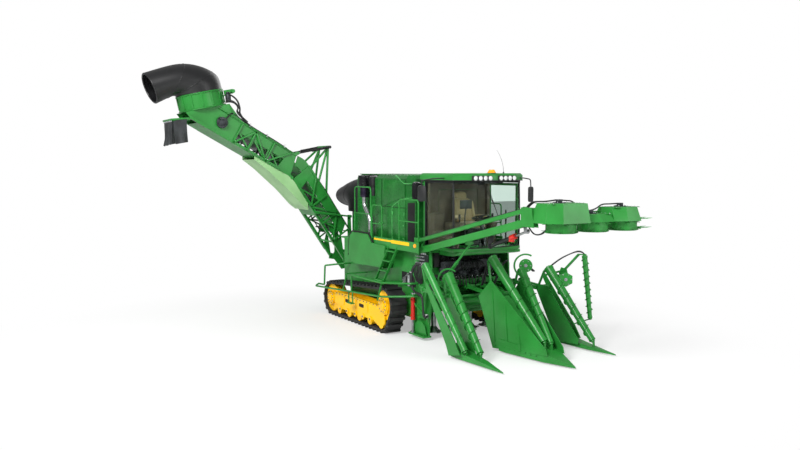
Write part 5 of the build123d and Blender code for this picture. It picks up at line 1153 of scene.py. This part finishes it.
# Dividers: hub plates with their arcs, wall stiffeners, bolts and hoses
hubs = {
    # body: hub centre, facing, radius, sides, arc radius, arc start, arc end
    "divider_center": ((-1655, 372, 1850), (0.82, -0.55, 0.12), 0.15, 40, 0.235, 60, 265),
    "divider_left": ((-1570, 1480, 1470), (0.75, -0.64, 0.1), 0.17, 6, 0.0, 0, 0),
    "divider_right": ((-2420, -1180, 1560), (0.85, -0.5, 0.1), 0.14, 40, 0.21, 50, 290),
}
for body, (centre, facing, radius, sides, arc, start, end) in hubs.items():
    centre, facing = spot(*centre), Vector(facing).normalized()
    bm = bmesh.new()
    addDisc(bm, centre, facing, radius, 0.014, sides)
    addDisc(bm, centre - facing * 0.05, facing, radius * 0.5, 0.06, 24)
    if arc:
        addArc(bm, centre - facing * 0.06, facing, arc, 0.035, 0.09, start, end)
    else:
        addBar(bm, centre - facing * 0.01, spot(-1860, 1360, 1560), 0.09, 0.02, across=Vector((0, 0, 1)))
    finishPiece("hubPlate_" + body, bm, "green_paint", body, bevel=0.003, smooth=40)
    bm = bmesh.new()
    addBolt(bm, centre + facing * 0.014, facing, 0.026)
    for k in range(6):
        spread = Vector((0, 0, 1)).cross(facing).normalized()
        out = spread * cos(tau * k / 6) + facing.cross(spread) * sin(tau * k / 6)
        addBolt(bm, centre + facing * 0.013 + out * radius * 0.72, facing, 0.009)
    finishPiece("hubBolts_" + body, bm, "zinc_fitting", body)

bm = bmesh.new()
# inner slope that closes the divider between its walls
addPlate(bm, [spot(*p) for p in ((-1775, -415, 1190), (-1775, 415, 1190), (-310, 215, 105),
    (-310, -215, 105))], Vector((0, 0, 0.006)))
for y, a, b in ((-437, (-1780, -432), (-260, -242)), (437, (-1780, 432), (-260, 242))):
    wall = Vector((b[0] - a[0], b[1] - a[1], 0)).normalized()
    out = Vector((wall.y, -wall.x, 0)) * (1 if y < 0 else -1)
    for share, low, high in ((0.04, 200, 1380), (0.3, 170, 1050), (0.55, 150, 700)):
        p = Vector(((a[0] + (b[0] - a[0]) * share), (a[1] + (b[1] - a[1]) * share), 0))
        addBar(bm, spot(p.x, p.y, low) + out * 0.014, spot(p.x - 90, p.y, high) + out * 0.014, 0.05, 0.01,
            across=wall)
    for k in range(9):
        p = (a[0] + (b[0] - a[0]) * (0.05 + k * 0.1), a[1] + (b[1] - a[1]) * (0.05 + k * 0.1))
        addBolt(bm, spot(p[0], p[1], 130) + out * 0.012, out, 0.011)
finishPiece("centerWallRibs", bm, "green_paint", "divider_center", bevel=0.003)
for body, sign in (("divider_right", -1), ("divider_left", 1)):
    runs = [[spot(-2540, sign * (1310 + k * 26), 1560), spot(-2700, sign * (1300 + k * 26), 1660),
        spot(-2860, sign * (1290 + k * 24), 1540), spot(-2960, sign * (1300 + k * 22), 1360),
        spot(-2880, sign * (1310 + k * 20), 1250)] for k in range(3)]
    hoseRun("dividerHoses_" + body, runs, 0.015, body)
runs = [[spot(-1980, 1330 + k * 24, 1720), spot(-1900, 1500 + k * 20, 1880),
    spot(-1700, 1700 + k * 14, 2040), spot(-1520, 1880, 2120 + k * 20), spot(-1425, 1905, 2040)]
    for k in range(2)]
hoseRun("knifeHoses", runs, 0.014, "divider_left")
runs = [[spot(-2110, y, 1930), spot(-2220, y * 1.1, 1900), spot(-2340, y, 1760), spot(-2440, y * 0.9, 1540),
    spot(-2560, y * 0.8, 1330)] for y in (-230, -190, 190, 230)]
hoseRun("centerHoses", runs, 0.015, "divider_center")
print("dividers dressed")

# Topper: cover flanges and bolts, drum motors, hoses along the arm and the red-ended tilt cylinder
bm = bmesh.new()
for low, high in (
        ((430, -1130, 3352), (960, -330, 3362)), ((450, -300, 3132), (940, 360, 3142)),
        ((560, 440, 3252), (980, 1080, 3262))):
    addBlock(bm, low, high)
finishPiece("coverFlanges", bm, "green_paint", "topper_head", bevel=0.003)
bm = bmesh.new()
for y, top in ((-760, 3362), (30, 3142), (820, 3262)):
    addColumn(bm, 700, y, top, top + 16, 0.12, sides=32)
    addColumn(bm, 700, y, top + 16, top + 70, 0.062, sides=28)
finishPiece("drumMotors", bm, "cast_grey", "topper_head", bevel=0.004, smooth=40)
bm = bmesh.new()
for y, top in ((-760, 3378), (30, 3158), (820, 3278)):
    for k in range(6):
        addBolt(bm, spot(700 + 95 * cos(tau * k / 6), y + 95 * sin(tau * k / 6), top), Vector((0, 0, 1)),
            0.009)
for low, high, z in (((440, -1120), (950, -340), 3362), ((460, -290), (930, 350), 3142),
        ((570, 450), (970, 1070), 3262)):
    for k in range(5):
        for y in (low[1] + 15, high[1] - 15):
            addBolt(bm, spot(low[0] + 20 + (high[0] - low[0] - 40) * k / 4, y, z), Vector((0, 0, 1)), 0.008)
finishPiece("coverBolts", bm, "zinc_fitting", "topper_head")
runs = []
for k in range(3):
    runs.append([spot(180, -1150 + k * 24, 3235), spot(300, -1120 + k * 26, 3370),
        spot(430, -1080 + k * 30, 3390), spot(520, -960 + k * 30, 3385), spot(650, -800 + k * 12, 3420)])
runs.append([spot(650, -720, 3420), spot(600, -520, 3400), spot(560, -300, 3390), spot(560, -120, 3230),
    spot(660, 10, 3200)])
runs.append([spot(660, 60, 3200), spot(600, 260, 3210), spot(570, 440, 3310), spot(600, 640, 3310),
    spot(670, 790, 3320)])
runs += [[spot(260, -1130, 2905), spot(330, -1100, 2780), spot(430, -1040, 2740),
    spot(520, -960 + k * 40, 2800), spot(470, -700, 2990)] for k in range(2)]
hoseRun("topperHoses", runs, 0.014, "topper_head")
runs = []
for k in range(3):
    y = -1160 + k * 20
    runs.append([spot(-3560, y, 2400), spot(-3000, y, 2530), spot(-2000, y, 2750), spot(-1000, y, 2985),
        spot(-200, y, 3165), spot(120, y, 3235)])
hoseRun("armHoses", runs, 0.012, "topper_upper_arm")
bm = bmesh.new()
for x in (-3300, -2400, -1500, -600):
    z = 2320 + (x + 3650) * 890 / 3890 + 40
    addBar(bm, spot(x, -1240, z + 6), spot(x, -1100, z + 6), 0.03, 0.01)
    addBar(bm, spot(x, -1185, z + 42), spot(x, -1095, z + 42), 0.03, 0.008)
finishPiece("armHoseClamps", bm, "zinc_fitting", "topper_upper_arm", bevel=0.002)
bm = bmesh.new()
addTube(bm, spot(-1000, -1080, 2420), spot(-330, -1080, 2640), 0.042, sides=24)
addTube(bm, spot(-1030, -1080, 2410), spot(-990, -1080, 2423), 0.06, sides=24)
addSidePlate(bm, -1080, ((-1120, 2660), (-900, 2700), (-960, 2390), (-1070, 2370)), 0.03)
finishPiece("tiltCylinder", bm, "black_paint", "topper_lower_arm", bevel=0.003, smooth=40)
bm = bmesh.new()
addTube(bm, spot(-340, -1080, 2636), spot(-200, -1080, 2682), 0.058, sides=28)
addTube(bm, spot(-290, -1080, 2600), spot(-300, -1080, 2560), 0.022, sides=12)
addBlock(bm, (-380, -1110, 2560), (-260, -1050, 2610))
finishPiece("tiltGland", bm, "red_paint", "topper_lower_arm", bevel=0.004, smooth=40)
bm = bmesh.new()
addTube(bm, spot(-200, -1080, 2682), spot(150, -1080, 2796), 0.024, sides=20)
addTube(bm, spot(150, -1120, 2800), spot(150, -1040, 2800), 0.045, sides=24)
addSidePlate(bm, -1120, ((90, 2920), (215, 2940), (190, 2770), (130, 2765)), 0.016)
finishPiece("tiltRod", bm, "worn_steel", "topper_lower_arm", bevel=0.002, smooth=40)
print("topper dressed")

# Tracks: hub covers, bolts, ribs and slots on the yellow frames
bm = bmesh.new()
dark = bmesh.new()
steel = bmesh.new()
trackFace = 1670
for sign in (-1, 1):
    face = sign * trackFace
    for x, z, radius in ((-7510, 480, 0.19), (-4540, 700, 0.2)):
        addTube(bm, spot(x, face, z), spot(x, face + sign * 26, z), radius, sides=40)
        addTube(bm, spot(x, face + sign * 26, z), spot(x, face + sign * 48, z), radius * 0.55, sides=32)
        for k in range(10):
            turn = tau * k / 10
            place = spot(x + radius * 820 * cos(turn), face + sign * 26, z + radius * 820 * sin(turn))
            addBolt(steel, place, Vector((0, sign, 0)), 0.013)
    for x in (-6900, -6500, -6025, -5600, -5200):
        addTube(bm, spot(x, face, 250), spot(x, face + sign * 22, 250), 0.075, sides=28)
        addBolt(steel, spot(x, face + sign * 22, 250), Vector((0, sign, 0)), 0.02)
    for x in (-6700, -6025, -5350):
        addBlock(bm, (x - 12, face, 380), (x + 12, face + sign * 16, 640))
    for k in range(14):
        addBolt(steel, spot(-7150 + k * 175, face + sign, 640), Vector((0, sign, 0)), 0.012)
    # dark rounded plates stand for the slots: painted shade inside the openings
    for x in (-6500, -5700):
        addRoundedPlate(dark, [spot(x - 130, face + sign * 2, 470), spot(x + 130, face + sign * 2, 470),
            spot(x + 130, face + sign * 2, 560), spot(x - 130, face + sign * 2, 560)], 0.04,
            Vector((0, 0.004, 0)))
finishPiece("trackHubCovers", bm, "yellow_paint", "chassis", bevel=0.005, smooth=40)
finishPiece("trackBolts", steel, "worn_steel", "chassis")
finishPiece("trackSlots", dark, "seal_rubber_and_shade", "chassis")
print("tracks dressed")

# Crop throat front: dark sheets of painted shade at the back of the throat, hose loops and fittings between
# the divider arms
bm = bmesh.new()
addBlock(bm, (-3420, -900, 1705), (-3400, 900, 2110))
addBlock(bm, (-3280, -1010, 1720), (-3262, -880, 2090))
# a dark plate in the side recess behind the ladder: painted shade
addSidePlate(bm, -1137, ((-4560, 1500), (-4080, 1500), (-3900, 1330), (-3900, 1170), (-4560, 1170)), 0.004)
finishPiece("throatShadeSheets", bm, "seal_rubber_and_shade", "chassis", bevel=0.004)
bm = bmesh.new()
throatFittings = bmesh.new()
runs = []
for k in range(11):
    y = -800 + k * 155
    if 150 <= abs(y) < 260:
        continue
    lift = (k * 37) % 5 * 22
    runs.append([spot(-3290, y, 1400), spot(-3230, y + 10, 1480 + lift), spot(-3190, y + 30, 1600 + lift),
        spot(-3220, y + 60, 1760), spot(-3330, y + 70, 1900 + lift), spot(-3400, y + 70, 1960)])
    runs.append([spot(-3400, y + 30, 1790 + lift), spot(-3260, y + 45, 1770 + lift),
        spot(-3200, y + 70, 1700), spot(-3230, y + 95, 1560), spot(-3300, y + 100, 1470)])
    addTube(bm, spot(-3400, y + 70, 1960), spot(-3330, y + 70, 1930), 0.03, sides=16)
    addTube(throatFittings, spot(-3400, y + 30, 1790 + lift), spot(-3350, y + 30, 1786 + lift), 0.024,
        sides=6)
    addTube(throatFittings, spot(-3296, y, 1392), spot(-3290, y, 1430), 0.022, sides=6)
    addColumn(throatFittings, -3300, y + 100, 1440, 1474, 0.022, sides=6)
for y in (-620, -130, 420, 760):
    addBlock(bm, (-3398, y - 60, 1990), (-3300, y + 60, 2090))
    addTube(bm, spot(-3300, y, 2040), spot(-3220, y, 2040), 0.045, sides=24)
hoseRun("throatHoses", runs, 0.017, "chassis")
finishPiece("throatMotors", bm, "cast_grey", "chassis", bevel=0.004, smooth=40)
finishPiece("throatFittings", throatFittings, "zinc_fitting", "chassis", smooth=35)

# Side recess behind the ladder: pipes and the return filter
bm = bmesh.new()
addColumn(bm, -4180, -1150, 1180, 1420, 0.052, sides=28)
addColumn(bm, -4180, -1150, 1420, 1450, 0.06, sides=28)
for k in range(3):
    addPipe(bm, [(-4500 + k * 60, -1148, 1190), (-4500 + k * 60, -1148, 1330 + k * 30),
        (-4290 + k * 30, -1148, 1420 + k * 20), (-4260 + k * 30, -1148, 1490)], 0.013, sides=10)
finishPiece("sidePipes", bm, "pale_metal", "chassis", smooth=40)
print("throat dressed")

# Pointed crop guides at the topper's outer end, on two levels, and the strip that carries them
bm = bmesh.new()
for z, spread in ((2830, 26), (3010, 34)):
    addBar(bm, spot(540, 1196, z), spot(900, 1196, z), 0.012, 0.04, across=Vector((0, 1, 0)))
    for k in range(5):
        foot = spot(560 + k * 80, 1198, z)
        tip = spot(600 + k * 80 + (k - 2) * spread, 1500 - abs(k - 2) * 38, z + 22 - 15 * (k % 2))
        addBar(bm, foot, foot.lerp(tip, 0.55), 0.034, 0.007, across=Vector((1, 0, 0)))
        addTube(bm, foot.lerp(tip, 0.52), tip, 0.012, 0.002, sides=10)
finishPiece("cropGuides", bm, "green_light", "topper_head", bevel=0.002)
print("crop guides placed")

# Studio: the photo's camera, three soft lights and a white floor
stageLight = {
    "worldStrength": 0.4,
    "key": {"place": (9, -15, 15), "size": 8, "power": 5200},
    "fill": {"place": (15, 8, 7), "size": 9, "power": 900},
    "rear": {"place": (-12, 9, 11), "size": 9, "power": 650},
    "cameraPlace": (16.292, -8.638, 4.02),
    "cameraForward": (-0.866, 0.5, -0.0724),
    "lensMillimetres": 35.4,
}

camera = bpy.data.cameras.new("photoCamera")
camera.lens = stageLight["lensMillimetres"]
camera.sensor_width = 36
camera.clip_end = 200
cameraObject = bpy.data.objects.new("photoCamera", camera)
bpy.context.scene.collection.objects.link(cameraObject)
cameraObject.location = stageLight["cameraPlace"]
cameraObject.rotation_euler = Vector(stageLight["cameraForward"]).to_track_quat("-Z", "Y").to_euler()
bpy.context.scene.camera = cameraObject
bpy.context.scene.view_settings.view_transform = "Standard"

floorMesh = bpy.data.meshes.new("studioFloor")
floorMesh.from_pydata([(-60, -60, -0.002), (60, -60, -0.002), (60, 60, -0.002), (-60, 60, -0.002)], [],
    [(0, 1, 2, 3)])
floor = bpy.data.objects.new("studioFloor", floorMesh)
bpy.context.scene.collection.objects.link(floor)
# painted studio floor: matt white, lifted to the page's white for the camera while the shadow stays
paper = bpy.data.materials.new("mattStudioPaint")
paper.use_nodes = True
tree = paper.node_tree
tree.nodes.clear()
matt = addNode(tree, "ShaderNodeBsdfDiffuse", inputs={"Color": linear("#f2f2f2")})
shine = addNode(tree, "ShaderNodeEmission", inputs={"Color": (1, 1, 1, 1), "Strength": 1.0})
ray = addNode(tree, "ShaderNodeLightPath")
place = addNode(tree, "ShaderNodeTexCoord").outputs["Object"]
away = addNode(tree, "ShaderNodeVectorMath", {"operation": "LENGTH"}, {0: place})
fade = addNode(tree, "ShaderNodeMapRange", {"interpolation_type": "SMOOTHSTEP"}, {
    "Value": away.outputs["Value"], "From Min": 4.6, "From Max": 9.5, "To Min": 0.4, "To Max": 1.0})
share = addNode(tree, "ShaderNodeMath", {"operation": "MULTIPLY"},
    {0: ray.outputs["Is Camera Ray"], 1: fade.outputs["Result"]})
both = addNode(tree, "ShaderNodeMixShader", inputs={0: share.outputs["Value"], 1: matt.outputs["BSDF"],
    2: shine.outputs["Emission"]})
addNode(tree, "ShaderNodeOutputMaterial", inputs={"Surface": both.outputs["Shader"]})
floorMesh.materials.append(paper)

world = bpy.data.worlds.new("studioWorld")
bpy.context.scene.world = world
world.use_nodes = True
tree = world.node_tree
tree.nodes.clear()
ray = addNode(tree, "ShaderNodeLightPath")
seen = addNode(tree, "ShaderNodeMath", {"operation": "MAXIMUM"}, {
    0: ray.outputs["Is Camera Ray"], 1: ray.outputs["Is Transmission Ray"]})
room = addNode(tree, "ShaderNodeBackground", inputs={"Color": (1, 1, 1, 1),
    "Strength": stageLight["worldStrength"]})
page = addNode(tree, "ShaderNodeBackground", inputs={"Color": (1, 1, 1, 1), "Strength": 1.0})
both = addNode(tree, "ShaderNodeMixShader", inputs={0: seen.outputs["Value"], 1: room.outputs["Background"],
    2: page.outputs["Background"]})
addNode(tree, "ShaderNodeOutputWorld", inputs={"Surface": both.outputs["Shader"]})

for name in ("key", "fill", "rear"):
    setting = stageLight[name]
    light = bpy.data.lights.new(name + "Light", "AREA")
    light.size = setting["size"]
    light.energy = setting["power"]
    lamp = bpy.data.objects.new(name + "Light", light)
    bpy.context.scene.collection.objects.link(lamp)
    lamp.location = setting["place"]
    lamp.rotation_euler = (Vector((0, 0, 2)) - lamp.location).to_track_quat("-Z", "Y").to_euler()
print("studio set")
